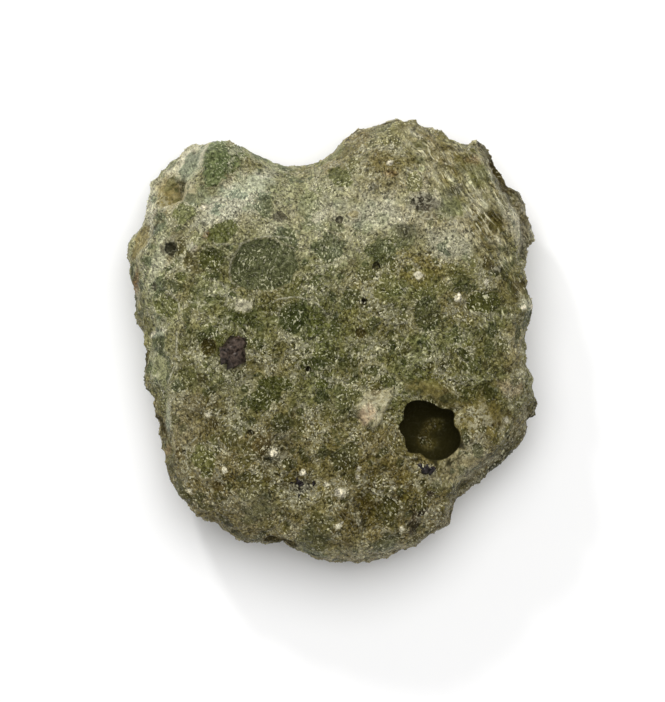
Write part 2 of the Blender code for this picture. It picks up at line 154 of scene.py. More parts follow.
# Bubbles broken open in the top: x, y, radius, depth of the centre under the surface, colour of the wall. The
# small ones are wider in the solid, whose facets are large, and the last three are only in the skin.
# The soot and umber walls of the small pits are partly painted shade.
TOP_BUBBLES = (
    (-17.1, 15.0, 2.3, -0.9, ""), (-16.5, 9.55, 0.8, 0.4, "soot"), (-18.4, 5.6, 0.4, 0.1, "soot"),
    (-12.75, -0.6, 0.85, -0.25, "umber"), (-12.5, 9.0, 0.7, -0.3, ""), (4.5, 7.7, 0.4, 0.1, "soot"),
    (0.7, 12.5, 0.4, 0.0, "soot"), (2.9, 0.85, 0.5, 0.0, "umber"), (11.6, -2.7, 0.9, -0.3, ""),
    (15.8, -5.3, 1.4, -0.8, ""), (-8.4, -9.3, 0.28, 0.05, "soot"), (-15.3, -11.4, 0.25, 0.0, "soot"),
    (-2.5, -2.8, 0.3, 0.0, "soot"), (3.2, 4.1, 0.35, 0.0, "soot"), (18.2, -9.8, 0.35, 0.1, "soot"),
)

FLANK_BUBBLES = 15
FLANK_RADIUS = (0.9, 2.1)
FLANK_BAND = (2.6, 10.5)
FLANK_OUT = (0.0, 0.45)   # how far outside the outline a flank bubble's centre lies, in radii
UNDER_BUBBLES = 9
UNDER_RADIUS = (0.8, 1.9)
UNDER_SPREAD = (0.1, 0.75)   # the square of an under bubble's place from the middle to the outline
UNDER_SUNK = (0.1, 0.5)   # how far its centre lies under the resting plane, in radii
BUBBLE_GAP = 0.4          # the least glass between two drawn bubbles
OTHER_WALLS = "umber"     # the colour of those bubbles' walls
HOLLOW_ROWS = 20          # rows of the grid on each sheet of the hollow and the dish
BUBBLE_ROWS = 7           # the same for the other bubbles
MOUTH_POINTS = 6          # points of the mouth's curve from one of its corners to the next
OUT_OF_ROUND = 0.14       # share of its radius by which a bubble's wall bulges in and out
SEED = 45

# ---- what only the skin has, in millimetres ----
EQUATOR = 0.62            # share of the way from pole to pole at which the grid crosses the widest line
GRIT = ((1.3, 0.10), (0.8, 0.09), (0.5, 0.06))   # the wrinkles of the skin: size and depth
CRUMBS = (1.1, 0.25)      # the same for the crumbly edge round the widest line
CALM_SMOOTHS = 0.7        # share of the wrinkles that calm glass loses

# Clasts: the size of their cells, their greatest half width in sizes, and the share of cells that have one.
CLASTS = ((3.2, 0.5, 0.40), (1.7, 0.5, 0.42), (0.95, 0.5, 0.3))
CLAST_BEND = ((1.5, 0.3, 41), (0.7, 0.12, 51))   # the noises that bend them: size, reach and seed
CLAST_RISE = 0.16         # a clast stands this far out, or lies that far in
CLAST_SLOPE = 0.5         # over this distance from its edge
RAISED_CLASTS = 0.7       # share of the clasts that stand out
SINK = 0.08               # the skin lies this far inside the solid, and the loose grains reach its surface
GRAIN_SUNK = 0.3          # share of its width by which a grain's middle lies under the skin
GRAIN_SKEW = 0.22         # how far a grain's corners are moved, in widths
GRAIN_WIDTHS = (0.65, 1.25)   # a grain's three widths, as shares of its size
GRAIN_SPREAD = 0.25       # how much the sizes of sand grains vary
LARGEST_GRAIN = 0.5       # and the size that no sand grain passes
GRAIN_SHADES = (0.75, 1.3)   # a sand grain's shade, as a share of the glass's colour round it
# Painted sheen: the grains have no coat, so a little added pale colour stands in for its sheen.
GRAIN_PAINTED_SHEEN = 0.015        # and how much lighter it is besides
LIGHTEST_GRAIN = 0.8
MILKY_SHARE = 0.03        # share of the sand grains that are milky quartz
MILKINESS = 0.55          # how far their colour is that of quartz
CALM_IS_BARE = 0.5        # glass as calm as this has no sand grains
FOOT_IS_BARE = 0.4        # and neither has the skin as low as this
MINERAL_SEED = SEED + 40
MOST_TRIANGLES = 200000   # a piece stays under this

# ---- colours, as red, green and blue from 0 to 255 on a screen ----
PALETTE = {
    "bottle": (63, 67, 32), "moss": (86, 90, 47), "sage": (115, 118, 75), "khaki": (152, 153, 114),
    "frost": (194, 192, 166), "mist": (198, 194, 166), "umber": (79, 68, 31), "olive": (105, 94, 52),
    "straw": (128, 116, 74), "sand": (158, 149, 115), "bone": (198, 192, 167), "ochre": (120, 106, 50),
    "rust": (124, 92, 56), "amber": (146, 134, 90), "slate": (69, 64, 52), "soot": (36, 33, 20),
    # The hollow's dark colour is partly the glass's own and partly painted shade.
    "garnet": (66, 52, 44), "rose": (172, 152, 122), "leaf": (94, 104, 66), "hollow": (55, 52, 35),
    "lens": (83, 87, 60), "lip": (104, 95, 56),
}
GREEN_RUN = ("bottle", "moss", "sage", "khaki", "frost")
BROWN_RUN = ("umber", "olive", "straw", "sand", "bone")
LIGHT_ON_TOP = 1.05       # light on the top, as a share of what makes white look white
SHEEN_ON_TOP = 0.01       # what the skin's sheen adds to that
LEFT_OF_DARK = 0.2        # the share of a dark colour that is left at least, when the sheen is taken off

# How far the glass and sand mixture has gone along those runs, from 0 to 1, at heights y of the plan.
TONES = (
    (-22, 0.48), (-18, 0.28), (-14, 0.30), (-6, 0.34), (0, 0.36), (6, 0.42), (10, 0.58), (14, 0.76),
    (18, 0.59), (22, 0.59),
)

# How the tone wanders from place to place: size, reach and seed of each noise.
TONE_NOISE = ((5.5, 0.13, 11), (2.4, 0.11, 12), (1.1, 0.11, 13), (0.55, 0.08, 14))

# Where the mixture is paler, and where it is browner than BROWN: by how much, the direction (a, b) of the plan
# in which that grows, the value of ax + by where it starts, and the run over which it reaches all of it.
PALER_LEFT = (0.15, (-1, 0), 10, 6)
BROWN = 0.42
BROWNER = ((0.5, (0, -1), 4, 6), (0.2, (0, 1), 8, 5), (0.25, (1, 1), 12, 8))
BROWN_NOISE = ((4.5, 0.35, 15), (1.6, 0.12, 16))

PULLED = (0.55, -0.83)    # the direction in which the glass along the upper right is drawn out into fibres
PULLED_FROM = 16.0        # how far to the left of that direction, from the middle, the fibres start
PULLED_RUN = 3.0          # and the run over which they reach their full strength
STREAKS = ((0.7, 0.3, 17),)   # the noise of the drawn-out streaks: size, reach and seed

# Coloured spots of the top: colour, x, y, half length, half width, turn in degrees, softness, strength, calm.
SPOTS = (
    ("khaki", -18.0, 8.4, 3.4, 1.4, 78, 0.8, 0.7, 0.0),
    ("frost", -17.9, 8.6, 2.6, 0.8, 70, 0.8, 0.5, 0.2),
    # This sand spot is partly painted light on the lower right flank, which the lamp leaves darker.
    ("sand", 13.2, -12.4, 3.2, 2.0, 45, 1.0, 0.6, 0.5),
    ("frost", -9.8, 14.8, 4.5, 1.7, 35, 0.8, 1.0, 0.0),
    ("khaki", -2.0, 15.5, 4.5, 1.8, 10, 0.9, 0.5, 0.0),
    ("sage", -8.6, 19.6, 2.2, 0.6, -28, 0.5, 0.7, 0.6),
    ("sage", -4.5, 18.4, 2.5, 0.55, 0, 0.5, 0.7, 0.6),
    ("sage", -0.2, 19.4, 2.0, 0.6, 42, 0.5, 0.7, 0.6),
    ("leaf", -10.7, 18.7, 2.0, 1.2, 62, 0.5, 0.9, 0.3),
    ("bottle", -12.9, 18.3, 1.6, 0.35, 100, 0.6, 0.8, 0.4),
    ("sage", -15.3, 13.2, 1.2, 1.1, 0, 0.3, 0.9, 0.3),
    ("mist", -14.2, 19.0, 2.6, 1.2, 38, 0.5, 0.6, 0.8),
    ("bone", -17.6, 17.1, 1.6, 0.7, 45, 0.7, 0.7, 0.7),
    ("bone", -14.8, 19.2, 1.4, 0.7, 20, 0.5, 0.7, 0.7),
    ("amber", -16.9, 15.3, 2.0, 1.7, 90, 0.6, 1.0, 0.85),
    ("ochre", -17.3, 14.6, 0.9, 0.7, 60, 0.9, 0.6, 0.85),
    ("umber", -15.6, 15.2, 1.1, 0.28, 98, 0.8, 0.8, 0.8),
    ("umber", -16.1, 16.7, 1.2, 0.2, -20, 0.8, 0.7, 0.8),
    ("sand", -14.8, 15.2, 0.8, 1.1, 0, 0.7, 0.8, 0.8),
    ("straw", -19.9, 10.2, 1.9, 0.7, 65, 0.4, 0.8, 0.6),
    ("umber", -18.6, 11.2, 1.6, 0.16, 62, 0.6, 0.8, 0.3),
    ("rust", -20.3, 6.3, 1.4, 0.35, 85, 0.6, 0.7, 0.3),
    ("mist", -6.1, 11.6, 1.6, 0.75, 25, 0.5, 0.3, 0.2),
    ("slate", -5.4, 12.8, 0.65, 0.6, 0, 0.3, 0.8, 0.3),
    ("moss", -11.3, 11.2, 1.7, 1.1, 20, 0.3, 0.9, 0.3),
    ("rust", -12.8, 10.9, 0.5, 0.4, 0, 0.5, 0.7, 0.0),
    ("bottle", -12.3, 8.5, 1.5, 1.4, 0, 0.35, 0.75, 0.2),
    # The soot spot in this pit is partly painted shade.
    ("soot", -12.5, 9.0, 0.35, 0.3, 0, 0.5, 0.9, 0.4),
    ("moss", -15.6, 6.7, 0.7, 0.65, 0, 0.4, 0.8, 0.4),
    ("moss", -17.0, 3.5, 1.5, 1.1, 0, 0.4, 0.7, 0.3),
    ("sage", -12.5, 4.6, 2.4, 1.2, 15, 0.6, 0.6, 0.2),
    ("sand", -16.8, 8.4, 0.25, 0.9, -25, 0.5, 0.8, 0.3),
    ("moss", -16.3, 7.8, 1.1, 0.25, 45, 0.5, 0.8, 0.3),
    ("bone", -13.2, 13.7, 0.4, 0.3, 0, 0.4, 0.9, 0.2),
    ("bone", -14.4, 9.6, 0.5, 0.4, 0, 0.5, 0.8, 0.2),
    ("bone", -9.0, 3.7, 1.0, 0.7, 15, 0.4, 0.6, 0.2),
    ("bone", -17.9, 0.9, 1.0, 0.4, 25, 0.5, 0.8, 0.1),
    ("khaki", -18.2, -2.4, 1.3, 1.9, 10, 0.5, 0.7, 0.4),
    ("frost", -16.9, -8.0, 1.8, 0.3, 92, 0.6, 0.7, 0.0),
    ("sand", -15.0, -8.0, 3.5, 2.0, 90, 1.0, 0.35, 0.0),
    ("amber", -16.8, -11.2, 0.8, 0.6, 60, 0.5, 0.9, 0.5),
    ("rust", -17.0, -11.3, 0.6, 0.3, 70, 0.9, 0.5, 0.5),
    ("umber", -12.8, -7.3, 2.8, 2.2, 30, 0.7, 0.55, 0.0),
    ("moss", -13.4, -12.0, 2.0, 1.3, 110, 0.35, 0.7, 0.4),
    ("bottle", -14.4, 0.2, 1.6, 1.0, 20, 0.5, 0.5, 0.2),
    ("bottle", -6.4, -5.3, 2.4, 1.3, 33, 0.35, 0.85, 0.2),
    ("bottle", -9.4, -8.7, 1.3, 0.8, 20, 0.5, 0.6, 0.2),
    ("slate", -5.6, -11.0, 2.4, 1.7, 60, 0.7, 0.5, 0.0),
    ("soot", -3.2, -14.8, 1.3, 0.7, 10, 0.7, 0.8, 0.0),
    ("rose", 3.7, -7.4, 1.3, 0.9, 65, 0.5, 0.9, 0.7),
    ("umber", 15.4, 12.6, 2.6, 2.0, -30, 0.9, 0.2, 0.0),
    ("bone", 18.4, 12.0, 2.2, 0.8, -60, 0.8, 0.45, 0.0),
    ("sand", -10.0, -6.0, 2.6, 2.0, 0, 0.9, 0.15, 0.0),
    ("olive", 14.8, -8.0, 2.4, 1.6, 0, 0.8, 0.7, 0.65),
    ("sand", -8.0, -17.0, 2.6, 1.8, 0, 0.9, 0.45, 0.0),
    ("sand", 5.0, -21.6, 4.0, 0.9, 5, 0.8, 0.6, 0.0),
    ("moss", -3.0, 2.2, 2.6, 1.7, 0, 0.5, 0.6, 0.1),
    ("bottle", -0.8, -4.2, 1.5, 0.8, 60, 0.5, 0.6, 0.1),
    ("bottle", 0.3, -1.6, 2.2, 1.0, 20, 0.7, 0.5, 0.0),
    ("bottle", 1.5, -7.6, 1.1, 1.4, 20, 0.6, 0.5, 0.0),
    # These two soot spots on small pits are partly painted shade.
    ("soot", -2.5, -2.8, 0.25, 0.25, 0, 0.5, 0.9, 0.2),
    ("soot", 3.2, 4.1, 0.28, 0.28, 0, 0.5, 0.9, 0.2),
    ("moss", 6.8, 5.1, 1.3, 0.5, 10, 0.5, 0.7, 0.0),
    ("ochre", 8.8, 7.6, 3.2, 2.0, -10, 0.8, 0.5, 0.0),
    ("olive", 16.0, 12.0, 1.8, 1.4, 0, 0.6, 0.85, 0.35),
    ("umber", 16.7, 12.9, 0.8, 0.5, -40, 0.5, 0.7, 0.1),
    ("sage", 12.0, 13.6, 1.9, 1.0, 10, 0.5, 0.6, 0.5),
    ("moss", 8.4, 16.4, 0.9, 1.1, 0, 0.4, 0.6, 0.3),
    ("moss", 0.6, 16.9, 1.5, 0.9, -30, 0.35, 0.8, 0.0),
    ("slate", 9.3, 14.2, 1.8, 1.0, -8, 0.5, 1.0, 0.6),
    ("slate", 7.3, 11.4, 1.0, 0.8, 0, 0.5, 0.6, 0.1),
    ("slate", 4.2, 15.9, 0.6, 0.45, 0, 0.5, 0.7, 0.1),
    ("slate", 12.4, 15.5, 1.0, 0.5, 20, 0.5, 0.6, 0.1),
    ("straw", 2.2, 13.0, 0.7, 0.6, 0, 0.3, 0.7, 0.5),
    ("frost", 4.6, 13.2, 2.8, 1.8, 30, 0.9, 0.5, 0.0),
    ("frost", 12.0, 10.0, 2.4, 1.6, -20, 0.9, 0.5, 0.0),
    ("rust", 6.1, 17.3, 0.9, 0.5, 0, 0.8, 0.5, 0.0),
    ("rust", 14.5, 18.8, 1.0, 0.5, 0, 0.8, 0.5, 0.0),
    ("khaki", 9.2, 17.8, 0.5, 0.35, 0, 0.4, 0.9, 0.5),
    ("bottle", 13.0, 5.6, 0.9, 0.5, 20, 0.5, 0.7, 0.2),
    ("bottle", 15.4, 4.0, 2.0, 1.1, 0, 0.4, 0.8, 0.3),
    ("slate", 16.9, 7.4, 0.8, 0.5, -20, 0.6, 0.7, 0.1),
    ("rose", 18.3, -4.8, 1.3, 1.0, 0, 0.8, 0.5, 0.1),
    ("olive", 15.9, -5.7, 1.6, 1.3, 60, 0.8, 0.6, 0.6),
    # This soot spot in a shallow dish is partly painted shade.
    ("soot", 11.6, -2.5, 0.9, 0.4, 35, 0.6, 0.6, 0.1),
    ("olive", 9.8, -14.2, 2.0, 1.3, 20, 0.8, 0.5, 0.4),
    ("olive", 2.2, 6.0, 2.6, 1.8, 20, 0.9, 0.3, 0.1),
    ("umber", 3.2, -17.2, 2.6, 2.0, 60, 0.9, 0.6, 0.0),
    ("garnet", 8.3, -18.9, 1.2, 0.6, 80, 0.5, 0.7, 0.2),
    ("garnet", 9.5, -17.5, 0.6, 0.35, 20, 0.5, 0.8, 0.2),
    ("garnet", 10.1, -15.7, 0.6, 0.3, 0, 0.5, 0.8, 0.2),
    ("umber", 6.2, -16.2, 1.2, 0.4, 5, 0.6, 0.8, 0.1),
    # This umber streak is partly painted shade along the lower right edge.
    ("umber", 14.6, -13.9, 2.8, 0.5, 35, 0.6, 0.4, 0.1),
    ("sand", 10.7, -14.4, 0.6, 0.5, 0, 0.6, 0.7, 0.3),
    ("umber", 6.7, -21.8, 0.5, 0.3, 0, 0.5, 0.9, 0.0),
    ("sand", 19.0, 0.0, 1.6, 1.2, 90, 0.8, 0.35, 0.0),
    ("frost", 20.0, 3.7, 0.8, 0.7, 0, 0.8, 0.6, 0.1),
    ("sage", 11.0, 0.3, 3.5, 1.5, 10, 0.8, 0.5, 0.0),
    ("lip", 10.2, -5.3, 3.4, 0.8, -22, 0.6, 0.7, 0.7),
    ("olive", 16.4, -7.6, 2.6, 1.6, -30, 0.9, 0.55, 0.65),
)

# Pale grains in the glass, each drawn as a small bone-coloured spot: x, y, half width.
PALE_GRAINS = (
    (-6.0, -11.4, 0.5), (-3.1, -13.4, 0.4), (0.9, -15.6, 0.5), (-0.6, -14.7, 0.35), (2.6, -13.9, 0.3),
    # The pale spots at (15.8, 6.1) and (-14.7, -15.4) are partly painted glints.
    (5.9, 18.3, 0.4), (8.8, 6.8, 0.5), (12.9, 4.4, 0.45), (15.8, 6.1, 0.4), (-11.1, -13.2, 0.35),
    (-12.8, -7.5, 0.3), (7.1, -19.3, 0.35), (0.7, -19.0, 0.4), (17.9, -8.1, 0.4), (2.7, -13.0, 0.3),
    (-14.7, -15.4, 0.3),
)

# Thin pale veins in the glass, each a run of points.
VEINS = (
    ((-12.1, 9.9), (-9.4, 10.0), (-8.3, 10.45), (-6.7, 10.8), (-4.1, 10.6)),
    ((-9.4, 9.9), (-10.4, 8.3), (-10.6, 7.1), (-10.4, 6.1), (-9.3, 5.4)),
    ((-6.4, 3.9), (-5.4, 4.4), (-3.8, 4.55), (-2.2, 4.3), (-1.2, 3.6), (-0.6, 2.7)),
    ((-17.1, 5.2), (-16.3, 4.8), (-15.8, 4.0), (-15.7, 3.1)),
    ((-15.0, 4.0), (-13.0, 4.0)),
    ((-14.6, 11.7), (-13.6, 12.5), (-12.9, 13.0)),
    ((8.5, 12.9), (9.5, 11.8), (10.7, 10.7)),
    ((-16.0, 1.0), (-16.0, -0.6), (-16.2, -2.4), (-16.7, -3.6), (-16.9, -4.3)),
    ((-13.8, -9.7), (-15.0, -10.8), (-15.1, -12.3), (-14.8, -13.9)),
    ((-0.2, 18.0), (1.3, 18.4), (2.4, 16.2)),
    ((9.0, 12.9), (9.4, 13.3), (10.0, 13.2), (10.3, 12.8), (9.8, 12.5), (9.2, 12.6), (9.0, 12.9)),
    ((1.6, 13.2), (2.1, 13.6), (2.8, 13.3), (2.7, 12.6), (2.0, 12.5), (1.6, 12.9)),
)
VEIN_REACH = 0.6          # the distance to the nearest vein, or to a clast's edge, is kept up to here
SHARP = 0.4               # a spot as soft as this or less has a sharp edge
SPOT_WAVES = ((0.5, 0.15, 35), (0.9, 0.3, 31), (2.0, 0.25, 33))   # how a spot's edge goes in and out
PATCH_SOFTNESS = 0.3      # the run over which a soft patch fades in
PATCH_FRAY = (0.8, 0.12, 32)   # the noise that frays a patch's edge
PALE_FINISH = (0.3, 0.9, 0.4)   # the softness, strength and calm of a pale grain
TOP_SINK = 0.3            # patches and spots reach this far under the widest line
TOP_RUN = 1.2             # and have their full strength this far above that
CLAST_GAP = 0.15          # the least width of mixture between a named clast and another
CLASTS_WEAKER = 0.35      # how much weaker the clasts' shades are at the upper right
# Painted light: steep skin, which the lamp overhead lights less, is painted paler.
PAINTED_LIGHT_ON_STEEP = 0.4         # how much paler the skin is where it is steep

# The shades of clasts: up to which random number, and the factors on the mixture's colour.
CLAST_SHADES = (
    (0.35, (0.44, 0.50, 0.47)), (0.62, (0.60, 0.65, 0.60)), (0.86, (0.77, 0.81, 0.76)),
    (0.93, (0.60, 0.57, 0.54)), (1.0, (1.22, 1.25, 1.3)),
)

# The stepped patches that have a colour of their own: colour, strength, calm, and whether the edge is sharp.
PATCH_FINISH = {
    # The slate on the right flanks is partly painted shade of their slopes, which fall away from the light.
    "upper right flank": ("slate", 0.45, 0.1, False),
    "lower right flank": ("slate", 0.4, 0.1, False),
    "corner ledge": ("mist", 0.65, 0.6, False),
    "hollow's lip": ("lip", 0.5, 0.8, False),
    "glass lens": ("lens", 0.9, 0.45, True),
    "pink grain": ("sand", 0.8, 0.6, False),
    "red crystal": ("garnet", 0.97, 0.5, True),
    "green knob": ("leaf", 0.9, 0.3, True),
}

# The walls of bubbles: how far they reach, in radii, the strength of their colour, how calm they are, how
# much painted shade darkens them downwards, and how much of its texture the crust loses on them.
WALL_FINISH = {"hollow": (1.25, 0.98, 0.85, 0.0, 0.75), "bubble": (1.12, 0.8, 0.5, 0.4, 0.0)}
WALL_SOFTNESS = 0.06      # share of the radius over which a wall's colour fades in
RIM_STEEPNESS = (0.92, 0.1)   # normal's Z where the rim takes on the hollow's colour, and over what run

# ---- the crust's finish: its sizes in metres, and distances to edges and veins in millimetres ----
# Noises: scale, detail, roughness and distortion.
NOISES = {
    "bend": (300.0, 1.0, 0.5, 0.0),
    "broad": (420.0, 2.0, 0.5, 0.0),
    "fine": (2600.0, 2.0, 0.6, 0.4),
    "swirl": (1200.0, 4.0, 0.7, 3.0),
    "streak": (3000.0, 3.0, 0.65, 0.0),
    "thread": (1500.0, 3.0, 0.6, 0.0),
    "glint": (4600.0, 1.0, 0.5, 0.0),
    "mottle": (3000.0, 3.0, 0.5, 0.0),
}

# How a noise or a stored value is used: its lowest and highest value, and what those become.
RANGES = {
    "inside a clast": (-0.04, 0.09, 0.0, 1.0),
    "line, outer side": (-0.16, -0.04, 0.0, 1.0),
    "line, inner side": (-0.02, 0.05, 1.0, 0.0),
    "lined clasts": (0.40, 0.60, 0.0, 0.7),
    "vein": (0.03, 0.16, 1.2, 0.0),
    "whole veins": (0.40, 0.56, 0.3, 1.1),
    "outside the hollow": (0.5, 1.0, 0.0, 1.0),
    "thread": (0.0, 0.04, 1.0, 0.0),
    "crowded threads": (0.38, 0.56, 0.3, 1.0),
    "threads in pale glass": (0.03, 0.3, 0.5, 1.3),
    # Glints are painted: pale colour added to the base colour where the glint noise peaks.
    "glint": (0.59, 0.64, 0.0, 1.0),
    "crowded glints": (0.40, 0.62, 0.3, 1.2),
    "glints in calm glass": (0.1, 0.8, 1.0, 0.1),
    "streak": (0.36, 0.64, -0.7, 0.6),
    "grain": (0.38, 0.62, -0.35, 0.35),
    "swirl": (0.40, 0.60, -0.85, 0.3),
    "tipped facets": (0.0, 1.0, 0.9, 0.3),
    "mottle": (0.35, 0.7, 0.4, 3.5),
}

# Swirled and pulled glass: how its noises are stretched, the turn of that, and how far their space is bent.
FIBRE_WAYS = (((1, 1.3, 1.1), 0.0, 0.002), ((6, 1, 2), math.atan2(PULLED[1], PULLED[0]), 0.0015))
EDGE_FRAY = 0.3           # how far the whole reach of the noise moves a clast's edge, in millimetres
CLAST_CALM = 0.4          # how calm the glass of a clast is at least
# Streaks, grain, swirls and threads lighten and darken the colour: partly the glass's own mottling, partly
# painted shade and light of its wrinkles.
CREST_RELIEF = 1.4        # how much a thread lightens the glass, against streaks, grain and swirls
CALM_LOSES = 0.6          # share of all that, which calm glass loses
SHADING_AND_MOTTLE_CONTRAST = 0.62    # how far it lightens and darkens the colour
DARKEST_FACTOR = 0.25     # down to this share of the colour
CREST_PAINTED_HIGHLIGHT = 0.1          # how much painted highlight, in pale colour, the lightest places get
VEIN_STRENGTH = 0.7       # how far a vein takes the colour to that of pale glass
VEIN_HEIGHT = 0.3         # the heights of veins, threads and streaks, against the swirls
CREST_HEIGHT = 0.25
STREAK_HEIGHT = 0.5
CALM_FLATTENS = 0.7       # share of the height that calm glass loses
CRUST_DEPTH = 0.0004      # the depth of the crust's relief
FACET_SCALE = 4800.0      # facets to a metre

# ---- the larger grains ----
# For each mineral the roughness of its surface, and its groups: x, y, spread, how many grains, and their
# smallest and largest width.
MINERALS = {
    "ore": (0.22, ((9.8, -12.9, 0.45, 16, 0.4, 0.75), (-3.2, -14.8, 0.8, 10, 0.25, 0.45))),
    "garnet": (0.3, ((-9.8, -0.2, 0.35, 4, 0.9, 1.2), (-10.0, -1.3, 0.55, 7, 0.9, 1.3))),
    "quartz": (0.35, (
        (-6.0, -11.3, 0.2, 3, 0.3, 0.5), (-3.1, -13.4, 0.2, 3, 0.3, 0.5), (0.9, -15.5, 0.2, 3, 0.35, 0.6),
        (2.6, -13.9, 0.15, 2, 0.25, 0.4), (5.9, 18.3, 0.2, 3, 0.25, 0.4), (12.9, 4.4, 0.2, 3, 0.3, 0.5),
        (-11.0, -13.1, 0.2, 2, 0.25, 0.4), (-13.2, 13.7, 0.2, 3, 0.25, 0.4), (20.0, 3.7, 0.4, 3, 0.35, 0.6),
    )),
}

# ---- the studio, in metres ----
# The camera looks straight down from far off, so that it sees little of the flanks.
FRAME_HEIGHT = 0.07266    # what the frame takes in from bottom to top at the lump's middle height
FRAME_CENTRE_Y = -0.00098
VIEW_HEIGHT = 0.6
MIDDLE_HEIGHT = 0.009
SENSOR = 36.0             # millimetres
FLOOR_HALF = 900.0        # millimetres

# Round lamps: name, place, width, power, and whether glossy facets mirror them.
LAMPS = (
    ("key", (0.015, 0.11, 0.48), 0.46, 2.5, False),
    ("spark", (-0.16, 0.30, 0.25), 0.05, 0.5, True),
)


# ---- noise ----

NOISE_GAIN = 1.7          # brings the noise's reach to about 1


def hashed(cells, salt):
    """A repeatable number from 0 to 1 for each whole-numbered cell: prime multiples, mixed bit by bit."""
    bits = (cells[:, 0] * 73856093) ^ (cells[:, 1] * 19349663) ^ (cells[:, 2] * 83492791) ^ (salt * 7919)
    bits = ((bits ^ (bits >> 13)) & 0xFFFFFFFF) * 1274126177
    return ((bits ^ (bits >> 16)) & 0xFFFFFF) / 0x1000000


def hashed_threes(cells, salt):
    """Three such numbers for each cell."""
    return np.stack([hashed(cells, salt + axis) for axis in range(3)], axis=1)


def noise(points, size, salt):
    """Smooth noise, about -1 to 1: a random slope at each corner of a lattice, blended by
    6t^5 - 15t^4 + 10t^3."""
    scaled = points / size
    cells = np.floor(scaled).astype(np.int64)
    part = scaled - cells
    fade = part**3 * (part * (part * 6 - 15) + 10)
    total = np.zeros(len(points))
    for corner in itertools.product((0, 1), repeat=3):
        slope = hashed_threes(cells + corner, salt) * 2 - 1
        weight = np.prod(np.where(corner, fade, 1 - fade), axis=1)
        total += weight * ((part - corner) * slope).sum(axis=1)
    return total * NOISE_GAIN


def layered(points, layers, start=0):
    """The start and several noises added up, each given by its size, reach and seed."""
    return sum((reach * noise(points, size, salt) for size, reach, salt in layers), start)


def pebbled(points, size, salt):
    """Cells round scattered seeds, one seed in each cube of this size. Returns the distance to the nearest
    seed and to the next one, in sizes, and a random number for the nearest seed's cell."""
    scaled = points / size
    cells = np.floor(scaled).astype(np.int64)
    nearest = np.full(len(points), np.inf)
    second = np.full(len(points), np.inf)
    owner = np.zeros(len(points))
    for step in itertools.product((-1, 0, 1), repeat=3):
        near = cells + step
        away = np.linalg.norm(scaled - (near + hashed_threes(near, salt)), axis=1)
        closer = away < nearest
        second = np.where(closer, nearest, np.minimum(second, away))
        owner = np.where(closer, hashed(near, salt + 5), owner)
        nearest = np.where(closer, away, nearest)
    return nearest, second, owner


# ---- the lump's form ----

def edge_radius(angles):
    """Distance from the Z axis to the plan outline at each angle, straight between the outline's corners."""
    corners = np.array(OUTLINE)
    return np.interp(angles, np.arctan2(corners[:, 1], corners[:, 0]), np.hypot(*corners.T), period=math.tau)


def even_profile(share, height, power):
    """Distance from the axis, as a share of the outline's radius, of the point this share of the way along
    the profile from the pole to the rim."""
    mean_radius = np.hypot(*np.array(OUTLINE).T).mean()
    turn = np.linspace(0, math.pi / 2, PROFILE_STEPS)
    across = np.sin(turn) ** (2 / power)
    up = np.cos(turn) ** (2 / power)
    run = np.concatenate([[0], np.cumsum(np.hypot(np.diff(across) * mean_radius, np.diff(up) * height))])
    return np.interp(share, run / run[-1], across)


def to_line(plan, start, end):
    """Distance from each plan point to the straight line between a start and an end."""
    along = np.subtract(end, start)
    off = plan - start
    share = np.clip(off @ along / (along @ along), 0, 1)
    return np.hypot(*(off - share[:, None] * along).T)


def inside(points, corners):
    """Distance in plan from each point to the polygon's nearest edge: positive inside it, negative out."""
    plan = points[:, :2]
    nearest = np.full(len(plan), np.inf)
    within = np.zeros(len(plan), bool)
    for start, end in zip(corners, corners[1:] + corners[:1]):
        nearest = np.minimum(nearest, to_line(plan, start, end))
        across, up = np.subtract(end, start)
        spans = (start[1] > plan[:, 1]) != (end[1] > plan[:, 1])
        within ^= spans & (plan[:, 0] - start[0] < (plan[:, 1] - start[1]) * across / (up or 1))
    return np.where(within, nearest, -nearest)


def to_vein(points):
    """Distance in plan to the nearest named vein. Below the widest line there are none."""
    nearest = np.full(len(points), VEIN_REACH)
    for vein in VEINS:
        for start, end in zip(vein, vein[1:]):
            nearest = np.minimum(nearest, to_line(points[:, :2], start, end))
    return np.where(points[:, 2] > WIDEST_Z, nearest, VEIN_REACH)


def eased(values):
    """The values cut off at 0 and 1, and eased between them by 3t^2 - 2t^3."""
    part = np.clip(values, 0, 1)
    return part**2 * (3 - 2 * part)


def steps(points):
    """Height added by the patches that step up or down, with an eased slope at their edges."""
    return sum(
        height * eased(inside(points, corners) / slope + 0.5) for height, slope, corners in STEPS.values()
    )


def swells(points):
    """Height added by the swells, as bell curves, and by the small grains, as flat-topped ones."""
    total = np.zeros(len(points))
    for bumps, power in ((SWELLS, 2), (GRAINS, 5)):
        for x, y, reach, height in bumps:
            off = np.hypot(points[:, 0] - x, points[:, 1] - y) / reach
            total += height * np.exp(-(off**power))
    return total


def grit(points):
    """The finest relief: wrinkles of glass, sharp on their crests, each a depth times 0.5 - 2 |noise|."""
    return sum(
        depth * (0.5 - 2 * np.abs(noise(points, size, 550 + 10 * octave)))
        for octave, (size, depth) in enumerate(GRIT)
    )


